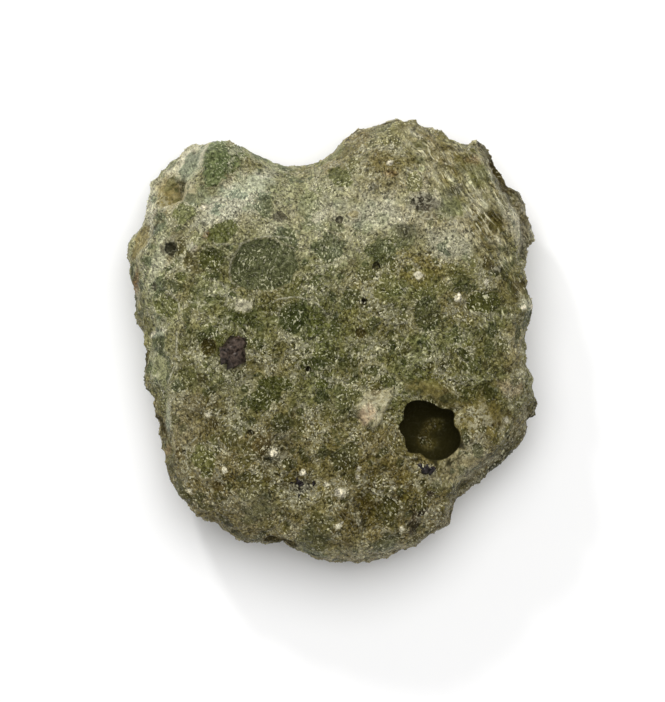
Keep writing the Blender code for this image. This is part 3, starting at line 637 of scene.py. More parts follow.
def clasts(points):
    """Lumps of clearer glass set in the mixture, of the sizes in CLASTS. Each grows from a seed until it
    meets its neighbour or its full width, in a space bent by noise. Returns the distance to the nearest
    clast's edge, positive inside it, and that clast's random number from 0 to 1."""
    bend = sum(
        reach * np.stack([noise(points, size, salt + axis) for axis in range(3)], axis=1)
        for size, reach, salt in CLAST_BEND
    )
    depth = np.full(len(points), -np.inf)
    pick = np.zeros(len(points))
    for place, (size, width, share) in enumerate(CLASTS):
        near, second, owner = pebbled(points + bend * size**0.5, size, 61 + 7 * place)
        edge = np.minimum(width - near, (second - near) / 2) * size
        edge = np.where(owner < share, edge, -np.abs(second - near) / 2 * size)
        deeper = edge > depth
        depth = np.where(deeper, edge, depth)
        pick = np.where(deeper, owner / share, pick)
    return depth, pick


def near_edge(up, reach):
    """1 at the widest line, and less above and below it, as a bell curve of this reach."""
    return np.exp(-((up / reach) ** 2))


def unevenness(points, normals, up, upper):
    """How far the skin stands out of the even form: lumps, wrinkles, the crumbly edge and the clasts."""
    rough = sum(depth * noise(points, size, 100 * octave) for octave, (size, depth) in enumerate(LUMPS))
    rough *= 1 + (BASE_LUMPS - 1) * np.clip(-normals[:, 2], 0, 1)
    rough *= 1 - (1 - EDGE_LUMPS) * near_edge(up, EDGE_LUMPS_REACH)
    calm = calmness(points)
    rough += grit(points) * (1 - CALM_SMOOTHS * calm * upper) - SINK
    size, depth = CRUMBS
    rough += depth * noise(points, size, 560) * near_edge(up, JAG_REACH) * (1 - calm)
    depth, pick = clasts(points)
    return rough + CLAST_RISE * eased(depth / CLAST_SLOPE) * np.where(pick < RAISED_CLASTS, 1, -1)


def lump_points(directions):
    """Places points of a unit sphere on the lump. The angle round Z picks the outline's radius R, and the
    angle down from the pole runs at even speed along the profile, a superellipse |r/R|^n + |z/H|^n = 1. R is
    the jagged outline at the widest line and evens out above and below it. Lumps stand out along the
    profile's normal, steps move straight up or down, and the resting plane flattens what would reach under
    it."""
    angles = np.arctan2(directions[:, 1], directions[:, 0])
    outward = np.stack([np.cos(angles), np.sin(angles)], axis=1)
    down = np.arccos(np.clip(directions[:, 2], -1, 1)) / math.pi
    upper = down <= EQUATOR
    side = np.where(upper, 1, -1)
    height = np.where(upper, RISE, FALL)
    power = np.where(upper, TOP_SQUARENESS, BASE_SQUARENESS)
    upper_across = even_profile(down / EQUATOR, RISE, TOP_SQUARENESS)
    lower_across = even_profile((1 - down) / (1 - EQUATOR), FALL, BASE_SQUARENESS)
    across = np.where(upper, upper_across, lower_across)
    up = (1 - across**power) ** (1 / power)

    turns = np.linspace(-ROUNDED_EDGE, ROUNDED_EDGE, ROUNDED_STEPS)
    evened = np.mean([edge_radius(angles + turn) for turn in turns], axis=0)
    radius = evened + (edge_radius(angles) - evened) * near_edge(up, JAG_REACH)
    points = np.column_stack([outward * (radius * across)[:, None], side * up * height])
    normals = np.column_stack([
        outward * (across ** (power - 1) / radius)[:, None],
        side * up ** (power - 1) / height,
    ])
    normals /= np.linalg.norm(normals, axis=1, keepdims=True)

    moved = points + normals * unevenness(points, normals, up, upper)[:, None]
    moved[:, 2] += steps(points) * np.where(upper, np.clip(up / STEP_FADE, 0, 1), 0)
    moved[:, 2] += swells(points) * np.where(upper, up, 0)
    moved[:, 2] += WIDEST_Z + WIDEST_SWAY * noise(points * (1, 1, 0), SWAY_SIZE, 700) * across**4
    moved[:, 2] = np.maximum(moved[:, 2], 0)
    return moved


# ---- colour ----

def colour(name):
    """A palette colour as the surface's own: each channel c of the screen value becomes
    ((c + 0.055) / 1.055)^2.4, less the sheen and over the light that falls on the top."""
    linear = ((np.array(PALETTE[name]) / 255 + 0.055) / 1.055) ** 2.4
    return np.maximum(linear - SHEEN_ON_TOP, LEFT_OF_DARK * linear) / LIGHT_ON_TOP


def mixed(under, over, share):
    """The first colours, taken this share of the way to the second ones."""
    return under + (over - under) * np.reshape(share, (-1, 1))


def spot_depth(points, wavy, spot):
    """How far each point is inside a turned spot |a|^1.6 + |b|^1.6 = 1 with a wavy edge, as a share of its
    size: 1 or so at the middle, 0 at the edge and negative outside."""
    name, x, y, length, width, turn = spot[:6]
    angle = math.radians(turn)
    off = points[:, :2] - (x, y)
    along = off @ (math.cos(angle), math.sin(angle)) / length
    beside = off @ (-math.sin(angle), math.cos(angle)) / width
    return wavy - (np.abs(along)**1.6 + np.abs(beside)**1.6) ** (1 / 1.6)


def calmness(points):
    """How calm the top is, from 0, rough and mixed, to 1, even glass: the strongest of the calm spots and
    patches at each point in plan."""
    wavy = 1 + layered(points, SPOT_WAVES)
    calm = np.zeros(len(points))
    for spot in SPOTS:
        calm = np.maximum(calm, spot[8] * eased(spot_depth(points, wavy, spot) / spot[6] + 0.5))
    for patch, (name, strength, value, sharp) in PATCH_FINISH.items():
        calm = np.maximum(calm, value * eased(inside(points, STEPS[patch][2]) / PATCH_SOFTNESS + 0.5))
    return calm


def run_of(names, blend):
    """Colours at these places, from 0 to 1, along a run of palette colours."""
    shades = np.array([colour(name) for name in names])
    stops = np.linspace(0, 1, len(names))
    return np.stack([np.interp(blend, stops, shades[:, channel]) for channel in range(3)], axis=1)


def towards(points, direction, start, run):
    """0 where ax + by, for a direction (a, b) of the plan, is under the start, and eased to 1 over the run."""
    return eased((points[:, :2] @ direction - start) / run)


def pull(points):
    """How far the glass is drawn out into fibres along PULLED, from 0 to 1 along the upper right."""
    return towards(points, (-PULLED[1], PULLED[0]), PULLED_FROM, PULLED_RUN) * (points[:, 2] > WIDEST_Z)


def glass_tint(points):
    """The glass and sand mixture: a run from dark to frosty glass, by the tones along Y and by noise, in
    greener and browner regions. Along the upper right it has streaks, drawn out to 5 times their width along
    the pull and to twice in height."""
    blend = np.interp(points[:, 1], *np.array(TONES).T) + PALER_LEFT[0] * towards(points, *PALER_LEFT[1:])
    blend += layered(points, TONE_NOISE)
    brown = sum((more * towards(points, *where) for more, *where in BROWNER), BROWN)
    brown = np.clip(layered(points, BROWN_NOISE, brown), 0, 1)
    along, across = points[:, :2] @ PULLED, points[:, :2] @ (-PULLED[1], PULLED[0])
    drawn_out = np.column_stack([along / 5, across, points[:, 2] / 2])
    blend += layered(drawn_out, STREAKS) * pull(points)
    return mixed(run_of(GREEN_RUN, blend), run_of(BROWN_RUN, blend), brown)


def marks(points):
    """Every patch and spot of the top, and every pale grain as a spot turned by its place. Yields its colour,
    strength and calm, whether its edge is sharp, how many millimetres each point is inside it, and how far it
    covers each point."""
    ragged = layered(points, (PATCH_FRAY,))
    for patch, (name, strength, value, sharp) in PATCH_FINISH.items():
        distance = inside(points, STEPS[patch][2]) + ragged
        yield name, strength, value, sharp, distance, eased(distance / PATCH_SOFTNESS + 0.5)
    wavy = 1 + layered(points, SPOT_WAVES)
    pale = [("bone", x, y, reach, 0.8 * reach, 40 * x, *PALE_FINISH) for x, y, reach in PALE_GRAINS]
    for spot in SPOTS + tuple(pale):
        depth = spot_depth(points, wavy, spot)
        softness, strength, value = spot[6:]
        sharp = softness <= SHARP
        yield spot[0], strength, value, sharp, depth * min(spot[3:5]), eased(depth / softness + 0.5)


def clast_colours(points, ground, pick):
    """The mixture's colour inside each clast: a shade by its random number, weaker at the upper right."""
    limits = [limit for limit, factors in CLAST_SHADES]
    factors = np.array([factors for limit, factors in CLAST_SHADES])[np.searchsorted(limits[:-1], pick)]
    weaker = CLASTS_WEAKER * towards(points, (0, 1), 9, 5) * towards(points, (1, 0), -3, 4)
    return ground * (1 + (factors - 1) * (1 - weaker)[:, None])


def painted(points, facing_up):
    """The skin in two layers: the mixture's colour, and over it that of the sharp-edged clasts, spots, grains
    and patches. Returns both, how calm the skin is, and the distance in millimetres to a clast's edge,
    positive inside. The named ones lie on the upper half, and push the other clasts back from their edge.
    Both layers carry painted light where the skin is steep, which the lamp overhead lights less."""
    ground = glass_tint(points)
    calm = np.zeros(len(points))
    top = eased((points[:, 2] - WIDEST_Z + TOP_SINK) / TOP_RUN)
    sharp_ones = []
    for name, strength, value, sharp, distance, cover in marks(points):
        if sharp:
            sharp_ones.append((name, strength, value, distance))
        else:
            share = top * cover
            ground = mixed(ground, colour(name), strength * share)
            calm = np.maximum(calm * (1 - share), value * share)

    edge, pick = clasts(points)
    body = clast_colours(points, ground, pick)
    for name, strength, value, distance in sharp_ones:
        distance = np.minimum(distance, 2 * top - 1)
        others = np.minimum(edge, -distance - CLAST_GAP)
        body = np.where((distance > others)[:, None], mixed(ground, colour(name), strength), body)
        edge = np.maximum(distance, others)
        calm = np.where(distance > 0, value, calm)
    # Painted light on steep skin, which the lamp overhead lights less.
    paler = (1 + PAINTED_LIGHT_ON_STEEP * eased((0.5 - facing_up) / 0.4))[:, None]
    return ground * paler, body * paler, calm, edge


# ---- meshes ----

def linked(name, mesh, material=None):
    """A new object of this mesh in the scene."""
    thing = bpy.data.objects.new(name, mesh)
    bpy.context.scene.collection.objects.link(thing)
    if material:
        mesh.materials.append(material)
    return thing


def new_mesh(name, points, faces):
    """A mesh of these points, given in millimetres, and of faces that all have the same number of corners."""
    mesh = bpy.data.meshes.new(name)
    mesh.vertices.add(len(points))
    mesh.vertices.foreach_set("co", (points * METRES_PER_MM).astype(np.float32).ravel())
    mesh.loops.add(faces.size)
    mesh.loops.foreach_set("vertex_index", faces.astype(np.int32).ravel())
    mesh.polygons.add(len(faces))
    mesh.polygons.foreach_set("loop_start", np.arange(0, faces.size, faces.shape[1], dtype=np.int32))
    mesh.update(calc_edges=True)
    return mesh


def sphere_grid(count):
    """Unit directions and quads over the six faces of a cube. Each face is a grid of two parameters u and v
    from -1 to 1, spread by tan(pi u / 4) so that the cells come out even. Points that two faces share are
    merged."""
    line = np.tan(np.linspace(-1, 1, count + 1) * math.pi / 4)
    u, v = np.meshgrid(line, line, indexing="ij")
    one = np.ones_like(u)
    sheets = ((one, u, v), (-one, v, u), (v, one, u), (u, -one, v), (u, v, one), (v, u, -one))
    points = np.concatenate([np.stack(sheet, axis=-1).reshape(-1, 3) for sheet in sheets])
    corner = np.arange((count + 1) ** 2).reshape(count + 1, count + 1)
    quad = np.stack([corner[:-1, :-1], corner[1:, :-1], corner[1:, 1:], corner[:-1, 1:]], axis=-1)
    quads = np.concatenate([quad.reshape(-1, 4) + sheet * corner.size for sheet in range(len(sheets))])
    rounded = np.round(points * 1e6).astype(np.int64)
    _, first, merged = np.unique(rounded, axis=0, return_index=True, return_inverse=True)
    points = points[first]
    return points / np.linalg.norm(points, axis=1, keepdims=True), merged.ravel()[quads]


def bubble_mesh(name, balls, count):
    """Balls pushed out of round by noise three-quarters of a radius across, as bubbles in stiff glass are."""
    directions, quads = sphere_grid(count)
    centres = np.array([centre for centre, radius in balls])[:, None]
    radii = np.array([radius for centre, radius in balls])[:, None, None]
    round_points = centres + directions * radii
    stretch = 1 + OUT_OF_ROUND * noise((round_points / radii).reshape(-1, 3), 0.75, 900)
    points = centres + directions * radii * stretch.reshape(len(balls), -1, 1)
    faces = quads + np.arange(len(balls))[:, None, None] * len(directions)
    return new_mesh(name, points.reshape(-1, 3), faces.reshape(-1, 4))


def curved_loop(corners, per_side):
    """A closed curve through the corners: on each side the cubic whose slope at a corner is half the step
    between that corner's neighbours."""
    start = np.array(corners)[:, None]
    end = np.roll(start, -1, axis=0)
    leave = (end - np.roll(start, 1, axis=0)) / 2
    arrive = np.roll(leave, -1, axis=0)
    t = np.linspace(0, 1, per_side, endpoint=False)[None, :, None]
    curve = (
        start * (2 * t**3 - 3 * t**2 + 1) + leave * (t**3 - 2 * t**2 + t)
        + end * (3 * t**2 - 2 * t**3) + arrive * (t**3 - t**2)
    )
    return curve.reshape(-1, 2)


def mouth_mesh(level):
    """A closed tube on the mouth's curve: its wall is the curve times height, and two fans close its ends."""
    curve = curved_loop(MOUTH, MOUTH_POINTS)
    count = len(curve)
    around = np.arange(count)
    ends = [level - MOUTH_REACH, level + MOUTH_REACH]
    rings = [np.column_stack([curve, np.full(count, z)]) for z in ends]
    tips = [np.append(curve.mean(axis=0), z)[None] for z in ends]
    after = np.roll(around, -1)
    low, high = 2 * count, 2 * count + 1
    triangles = np.concatenate([
        np.stack([around, after, after + count], axis=1),
        np.stack([around, after + count, around + count], axis=1),
        np.stack([after, around, np.full(count, low)], axis=1),
        np.stack([around + count, after + count, np.full(count, high)], axis=1),
    ])
    return new_mesh("mouth_cutter", np.concatenate(rings + tips), triangles)


def top_only(points):
    """Those of the points that lie clearly above the widest line."""
    return points[points[:, 2] > WIDEST_Z + 1]


def surface_height(top, x, y):
    """Height of the top over a plan point, read from the nearest of its points."""
    return float(top[np.hypot(top[:, 0] - x, top[:, 1] - y).argmin(), 2])


def drawn_bubbles(taken):
    """Bubbles of the flanks and underside, by a seeded draw that keeps each clear of the last ones."""
    draw = np.random.default_rng(SEED)
    taken = [*taken, ((*HOLLOW, WIDEST_Z + RISE - HOLLOW_DEPTH), HOLLOW_RADIUS)]
    drawn = []
    while len(drawn) < FLANK_BUBBLES + UNDER_BUBBLES:
        angle = draw.uniform(0, math.tau)
        rim = float(edge_radius(np.array([angle]))[0])
        if len(drawn) < FLANK_BUBBLES:
            radius = draw.uniform(*FLANK_RADIUS)
            out = rim + draw.uniform(*FLANK_OUT) * radius
            height = draw.uniform(*FLANK_BAND)
        else:
            radius = draw.uniform(*UNDER_RADIUS)
            out = math.sqrt(draw.uniform(*UNDER_SPREAD)) * rim
            height = -draw.uniform(*UNDER_SUNK) * radius
        centre = (out * math.cos(angle), out * math.sin(angle), height)
        if all(math.dist(centre, other) > radius + reach + BUBBLE_GAP for other, reach in taken + drawn):
            drawn.append((centre, radius))
    return drawn


def cut(thing, mesh):
    """Adds a Boolean that cuts the mesh out of the thing, and returns the cutter."""
    cutter = linked(mesh.name, mesh)
    difference = thing.modifiers.new(mesh.name, "BOOLEAN")
    difference.operation = "DIFFERENCE"
    difference.solver = "EXACT"
    difference.object = cutter
    return cutter


def bubbled_lump(rows):
    """The skin's mesh with all its bubbles cut out, and for each bubble its centre, radius and colour."""
    directions, quads = sphere_grid(rows)
    points = lump_points(directions)
    top = top_only(points)
    level = surface_height(top, *HOLLOW)
    balls = [((x, y, surface_height(top, x, y) - depth), radius) for x, y, radius, depth, name in TOP_BUBBLES]
    walls = [name for x, y, radius, depth, name in TOP_BUBBLES]
    balls += drawn_bubbles(balls)
    walls += [OTHER_WALLS] * (len(balls) - len(walls))
    balls.append(((*HOLLOW, level - HOLLOW_DEPTH), HOLLOW_RADIUS))
    walls.append("hollow")

    lump = linked("lump_grid", new_mesh("lump_grid", points, quads))
    cutters = [
        cut(lump, mouth_mesh(level)),
        cut(lump, bubble_mesh("hollow_cutter", [balls[0], balls[-1]], HOLLOW_ROWS)),
        cut(lump, bubble_mesh("bubble_cutter", balls[1:-1], BUBBLE_ROWS)),
    ]
    graph = bpy.context.evaluated_depsgraph_get()
    mesh = bpy.data.meshes.new_from_object(lump.evaluated_get(graph))
    mesh.name = "lump"
    for spare in (lump, *cutters):
        bpy.data.objects.remove(spare)
    return mesh, [(np.array(centre), radius, name) for (centre, radius), name in zip(balls, walls)]


def vertex_values(mesh, kind):
    """Every vertex's place ("co") in millimetres, or its normal."""
    found = np.empty(len(mesh.vertices) * 3, np.float32)
    if kind == "co":
        mesh.vertices.foreach_get("co", found)
        return found.reshape(-1, 3).astype(float) / METRES_PER_MM
    mesh.vertex_normals.foreach_get("vector", found)
    return found.reshape(-1, 3).astype(float)


def set_values(mesh, name, values):
    """Stores a number for each of the mesh's vertices."""
    layer = mesh.attributes.new(name, "FLOAT", "POINT")
    layer.data.foreach_set("value", values.astype(np.float32))


def set_colours(mesh, name, colours):
    """Stores a colour for each of the mesh's vertices."""
    layer = mesh.color_attributes.new(name, "FLOAT_COLOR", "POINT")
    opaque = np.column_stack([colours, np.ones(len(colours))])
    layer.data.foreach_set("color", opaque.astype(np.float32).ravel())


def stored(mesh, name, kind, width):
    """What set_values or set_colours stored: rows of this width."""
    found = np.empty(len(mesh.vertices) * width, np.float32)
    mesh.attributes[name].data.foreach_get(kind, found)
    return found.reshape(-1, width)


def paint_lump(mesh, bubbles):
    """Stores on the skin all that its finish reads: the two layers of colour, how calm, pulled and textured
    it is, and the distances to a clast's edge and to a vein. The walls of bubbles have a colour of their own,
    with painted shade darkening them downwards. The hollow's starts where its rim gets steep, and has little
    texture."""
    points, normals = vertex_values(mesh, "co"), vertex_values(mesh, "normal")
    tint, body, calm, edge = painted(points, normals[:, 2])
    texture = np.ones(len(points))
    for centre, radius, name in bubbles:
        if not name:
            continue
        in_hollow = name == "hollow"
        reach, strength, value, darker, smoother = WALL_FINISH["hollow" if in_hollow else "bubble"]
        wall = eased((reach - np.linalg.norm(points - centre, axis=1) / radius) / WALL_SOFTNESS)
        if in_hollow:
            start, run = RIM_STEEPNESS
            wall *= eased((start - normals[:, 2]) / run + (points[:, 2] < centre[2]))
        # Painted shade: a bubble's wall gets darker the deeper it lies in the bubble.
        deep = eased((centre[2] + 0.5 * radius - points[:, 2]) / radius)
        shade = mixed(colour(name), (1 - darker) * colour(name), deep)
        tint, body = (mixed(layer, shade, strength * wall) for layer in (tint, body))
        calm = np.maximum(calm * (1 - wall), value * wall)
        edge = edge * (1 - wall) - VEIN_REACH * wall
        texture -= smoother * wall * texture
    set_colours(mesh, "tint", tint)
    set_colours(mesh, "body", body)
    numbers = {
        "calm": calm, "pulled": pull(points), "texture": texture,
        "clast_edge": np.clip(edge, -VEIN_REACH, VEIN_REACH), "vein": to_vein(points),
    }
    for name, values in numbers.items():
        set_values(mesh, name, values)


def turned(draw, count):
    """Random turns as matrices, from quaternions (w, x, y, z) drawn evenly on the four-dimensional sphere."""
    w, x, y, z = draw.normal(size=(4, count))
    length = np.sqrt(w * w + x * x + y * y + z * z)
    w, x, y, z = w / length, x / length, y / length, z / length
    rows = [
        [1 - 2 * (y * y + z * z), 2 * (x * y - w * z), 2 * (x * z + w * y)],
        [2 * (x * y + w * z), 1 - 2 * (x * x + z * z), 2 * (y * z - w * x)],
        [2 * (x * z - w * y), 2 * (y * z + w * x), 1 - 2 * (x * x + y * y)],
    ]
    return np.moveaxis(np.array(rows), -1, 0)


# The corners of a grain's rough block, and its triangles, outwards.
BLOCK = np.array(list(itertools.product((-0.5, 0.5), repeat=3)))
BLOCK_FACES = np.array([
    (0, 1, 3), (0, 3, 2), (4, 6, 7), (4, 7, 5), (0, 4, 5), (0, 5, 1),
    (2, 3, 7), (2, 7, 6), (0, 2, 6), (0, 6, 4), (1, 5, 7), (1, 7, 3),
])


def grains_mesh(name, draw, centres, sizes):
    """Grains in one mesh. Each is a block whose corners move at random by up to GRAIN_SKEW of its width, with
    its own three widths, turned at random and moved to its centre."""
    count = len(centres)
    corners = BLOCK + draw.uniform(-GRAIN_SKEW, GRAIN_SKEW, (count, 8, 3))
    corners *= sizes[:, None, None] * draw.uniform(*GRAIN_WIDTHS, (count, 1, 3))
    placed = np.einsum("nij,nkj->nki", turned(draw, count), corners) + centres[:, None]
    faces = BLOCK_FACES + 8 * np.arange(count)[:, None, None]
    return new_mesh(name, placed.reshape(-1, 3), faces.reshape(-1, 3))


def sampled(mesh, draw, count):
    """Random places on the mesh: triangles drawn by area where the glass isn't calm, and a point in each
    drawn evenly. Returns the places, the face normals, and the colour there. Faces near the resting plane get
    none."""
    points = vertex_values(mesh, "co")
    mesh.calc_loop_triangles()
    corner = np.empty(len(mesh.loop_triangles) * 3, np.int32)
    mesh.loop_triangles.foreach_get("vertices", corner)
    corner = corner.reshape(-1, 3)
    tint, body = (stored(mesh, name, "color", 4) for name in ("tint", "body"))
    calm, edge = (stored(mesh, name, "value", 1) for name in ("calm", "clast_edge"))
    tint = np.where(edge > 0, body, tint)
    a, b, c = (points[corner[:, side]] for side in range(3))
    normal = np.cross(b - a, c - a)
    area = np.linalg.norm(normal, axis=1)
    rough = np.clip(1 - calm[corner, 0].mean(axis=1) / CALM_IS_BARE, 0, 1)
    weight = area * rough * (a[:, 2] > FOOT_IS_BARE)
    picked = draw.choice(len(corner), count, p=weight / weight.sum())
    s, t = draw.random((2, count, 1))
    over = s + t > 1
    s, t = np.where(over, 1 - s, s), np.where(over, 1 - t, t)
    places = a[picked] * (1 - s - t) + b[picked] * s + c[picked] * t
    return places, normal[picked] / area[picked][:, None], tint[corner[picked, 0], :3]


# ---- materials ----

def plain_material(name, base, roughness, **more):
    """A material with its node tree and its shader, whose colour, roughness and further sockets are set."""
    material = bpy.data.materials.new(name)
    material.use_nodes = True
    shader = material.node_tree.nodes["Principled BSDF"]
    for socket, value in {"Base_Color": (*base, 1), "Roughness": roughness, **more}.items():
        shader.inputs[socket.replace("_", " ")].default_value = value
    return material, material.node_tree, shader


def node(tree, kind, settings=(), **values):
    """A new node with its settings, and its sockets set from values or linked from other nodes' sockets. A
    socket is named with underscores for spaces, or by its number after a leading i."""
    made = tree.nodes.new(kind)
    for key, setting in dict(settings).items():
        setattr(made, key, setting)
    for key, value in values.items():
        socket = made.inputs[int(key[1:])] if key[1:].isdigit() else made.inputs[key.replace("_", " ")]
        if isinstance(value, bpy.types.NodeSocket):
            tree.links.new(value, socket)
        else:
            socket.default_value = value
    return made


def attribute(tree, name, output="Fac"):
    """A stored value of the piece's own, by its name."""
    return node(tree, "ShaderNodeAttribute", {"attribute_name": name}).outputs[output]


def noise_of(tree, kind, place, output="Fac"):
    """One of the noises in NOISES, read at this place."""
    scale, detail, grade, distortion = NOISES[kind]
    return node(
        tree, "ShaderNodeTexNoise", Vector=place, Scale=scale, Detail=detail, Roughness=grade,
        Distortion=distortion,
    ).outputs[output]


def number_sockets(values):
    """The values as a node's sockets by number."""
    return {f"i{place}": value for place, value in enumerate(values)}


def maths(tree, operation, *values):
    """A maths node's result, from numbers or other nodes' sockets."""
    return node(tree, "ShaderNodeMath", {"operation": operation}, **number_sockets(values)).outputs[0]


def times(tree, *values):
    """The product of numbers and other nodes' sockets, worked out from the left."""
    return functools.reduce(lambda product, value: maths(tree, "MULTIPLY", product, value), values)


def times_plus(tree, value, factor, added):
    """A value times a factor, plus another value."""
    return maths(tree, "MULTIPLY_ADD", value, factor, added)


def ranged(tree, value, name):
    """The value taken from one range to another, as RANGES gives them, eased and held at the ends."""
    numbers = number_sockets((value, *RANGES[name]))
    return node(tree, "ShaderNodeMapRange", {"interpolation_type": "SMOOTHSTEP"}, **numbers).outputs[0]


def mix_colours(tree, share, under, over):
    """A colour taken this share of the way to another."""
    return node(tree, "ShaderNodeMix", {"data_type": "RGBA"}, Factor=share, i6=under, i7=over).outputs[2]


def vectors(tree, operation, *values, **more):
    """A vector maths node's result."""
    settings = {"operation": operation}
    return node(tree, "ShaderNodeVectorMath", settings, **number_sockets(values), **more).outputs[0]


def fibres(tree, place):
    """Two sets of noises, one for swirled glass and one for pulled glass, mixed by how pulled it is. Swirled
    glass reads them a little stretched, in a bent space; pulled glass reads them stretched to 6 times along
    the pull. Returns the streaks, the distance to the nearest thread, and the noise of the painted glints."""
    bend = vectors(tree, "SUBTRACT", noise_of(tree, "bend", place, "Color"), (0.5, 0.5, 0.5))
    ways = [
        node(
            tree, "ShaderNodeMapping", {"vector_type": "TEXTURE"}, Scale=stretch, Rotation=(0, 0, turn),
            Vector=vectors(tree, "ADD", place, vectors(tree, "SCALE", bend, Scale=reach)),
        ).outputs[0]
        for stretch, turn, reach in FIBRE_WAYS
    ]

    def field(kind):
        under, over = (noise_of(tree, kind, way) for way in ways)
        return node(tree, "ShaderNodeMix", Factor=attribute(tree, "pulled"), i2=under, i3=over).outputs[0]

    thread = maths(tree, "ABSOLUTE", maths(tree, "SUBTRACT", field("thread"), 0.5))
    return field("streak"), thread, field("glint")


def clasts_and_veins(tree, broad, fine, texture):
    """How far each place is inside a clast, from 0 to 1, and how strong a pale line is there. The lines run
    round some of the clasts and along the veins. Noise frays and breaks them, and the hollow has none."""
    frayed = maths(tree, "SUBTRACT", fine, 0.5)
    edge = times_plus(tree, frayed, EDGE_FRAY, attribute(tree, "clast_edge"))
    line = times(tree, ranged(tree, edge, "line, outer side"), ranged(tree, edge, "line, inner side"))
    web = times(tree, line, ranged(tree, broad, "lined clasts"))
    vein = maths(tree, "MAXIMUM", web, ranged(tree, attribute(tree, "vein"), "vein"))
    vein = times(tree, vein, ranged(tree, fine, "whole veins"), ranged(tree, texture, "outside the hollow"))
    return ranged(tree, edge, "inside a clast"), vein


def crust_material(name):
    """Fused glass and sand. The body colour lies over the tint inside the clasts' edge. Streaks, grain and
    swirls lighten and darken the colour, partly as the glass's own mottling and partly as painted shade and
    light of its wrinkles; threads run along it as pale crests, partly painted highlights; and painted glints
    of pale colour lie between. Small cells each tip the coat's normal their own way, as crystal faces do.
    Calm glass and the hollow's wall have less of all of it."""
    material, tree, shader = plain_material(
        name, (0.15, 0.15, 0.08), 0.6, Specular_IOR_Level=0.1, Coat_Weight=0.15, Coat_Roughness=0.08,
        Subsurface_Weight=0.06, Subsurface_Radius=(0.9, 1.0, 0.6), Subsurface_Scale=0.0003, IOR=1.5,
    )
    place = node(tree, "ShaderNodeTexCoord").outputs["Object"]
    broad, fine, swirl = (noise_of(tree, kind, place) for kind in ("broad", "fine", "swirl"))
    streak, thread, glint = fibres(tree, place)
    texture = attribute(tree, "texture")
    inner, vein = clasts_and_veins(tree, broad, fine, texture)
    calm = maths(tree, "MAXIMUM", attribute(tree, "calm"), times(tree, inner, CLAST_CALM))
    tint = mix_colours(tree, inner, attribute(tree, "tint", "Color"), attribute(tree, "body", "Color"))

    light = node(tree, "ShaderNodeRGBToBW", i0=tint).outputs[0]
    thick = times(tree, ranged(tree, broad, "crowded threads"), ranged(tree, light, "threads in pale glass"))
    # Threads as pale crests: partly the glass's own pale threads, partly painted highlights on its wrinkles.
    crest = times(tree, ranged(tree, thread, "thread"), thick)
    # Painted glints: pale colour added where the glint noise peaks.
    spark = times(tree, ranged(tree, glint, "glint"), ranged(tree, broad, "crowded glints"))
    spark = times(tree, spark, times(tree, ranged(tree, calm, "glints in calm glass"), texture))
    # Partly the glass's own mottling, partly painted shade and light of its wrinkles.
    relief = maths(tree, "ADD", ranged(tree, streak, "streak"), ranged(tree, fine, "grain"))
    relief = maths(tree, "ADD", ranged(tree, swirl, "swirl"), relief)
    relief = times_plus(tree, crest, CREST_RELIEF, relief)
    relief = times(tree, relief, times_plus(tree, calm, -CALM_LOSES, 1.0), texture)

    # The pale colour of the veins, the painted glints and the painted highlights.
    pale = node(tree, "ShaderNodeRGB")
    pale.outputs[0].default_value = (*colour("mist"), 1)
    pale = pale.outputs[0]
    # Painted shade and light scale the colour; painted highlights add pale colour to it.
    factor = maths(tree, "MAXIMUM", times_plus(tree, relief, SHADING_AND_MOTTLE_CONTRAST, 1.0), DARKEST_FACTOR)
    painted_highlight = maths(tree, "ADD", spark, times(tree, maths(tree, "MAXIMUM", relief, 0.0), CREST_PAINTED_HIGHLIGHT))
    shaded, shining = vectors(tree, "SCALE", tint, Scale=factor), vectors(tree, "SCALE", pale, Scale=painted_highlight)
    dressed = vectors(tree, "ADD", shaded, shining)
    veined = mix_colours(tree, times(tree, vein, VEIN_STRENGTH), dressed, pale)
    tree.links.new(veined, shader.inputs["Base Color"])

    height = times_plus(tree, vein, VEIN_HEIGHT, times_plus(tree, crest, CREST_HEIGHT, swirl))
    height = times_plus(tree, streak, STREAK_HEIGHT, height)
    strength = times(tree, texture, times_plus(tree, calm, -CALM_FLATTENS, 1.0))
    bump = node(tree, "ShaderNodeBump", Distance=CRUST_DEPTH, Height=height, Strength=strength)
    tree.links.new(bump.outputs["Normal"], shader.inputs["Normal"])
    cells = node(tree, "ShaderNodeTexVoronoi", Vector=place, Scale=FACET_SCALE)
    centred = vectors(tree, "SUBTRACT", cells.outputs["Color"], (0.5, 0.5, 0.5))
    tipped = vectors(tree, "SCALE", centred, Scale=ranged(tree, calm, "tipped facets"))
    leaning = vectors(tree, "ADD", bump.outputs["Normal"], tipped)
    tree.links.new(vectors(tree, "NORMALIZE", leaning), shader.inputs["Coat Normal"])
    return material


def sand_material(name):
    """A sand grain's stored tint, on a glossy surface."""
    material, tree, shader = plain_material(name, (0.2, 0.2, 0.12), 0.2, IOR=1.55)
    tree.links.new(attribute(tree, "tint", "Color"), shader.inputs["Base Color"])
    return material


def mineral_material(name, base, roughness):
    """A mineral grain's own colour, mottled by noise, on a surface that isn't quite even."""
    material, tree, shader = plain_material(name, base, roughness, IOR=1.6, Specular_IOR_Level=0.2)
    place = node(tree, "ShaderNodeTexCoord").outputs["Object"]
    mottle = noise_of(tree, "mottle", place)
    shade = node(tree, "ShaderNodeMapRange", **number_sockets((mottle, *RANGES["mottle"]))).outputs[0]
    tree.links.new(vectors(tree, "SCALE", tuple(base), Scale=shade), shader.inputs["Base Color"])
    bump = node(tree, "ShaderNodeBump", Strength=0.3, Distance=0.0001, Height=mottle)
    tree.links.new(bump.outputs["Normal"], shader.inputs["Normal"])
    return material


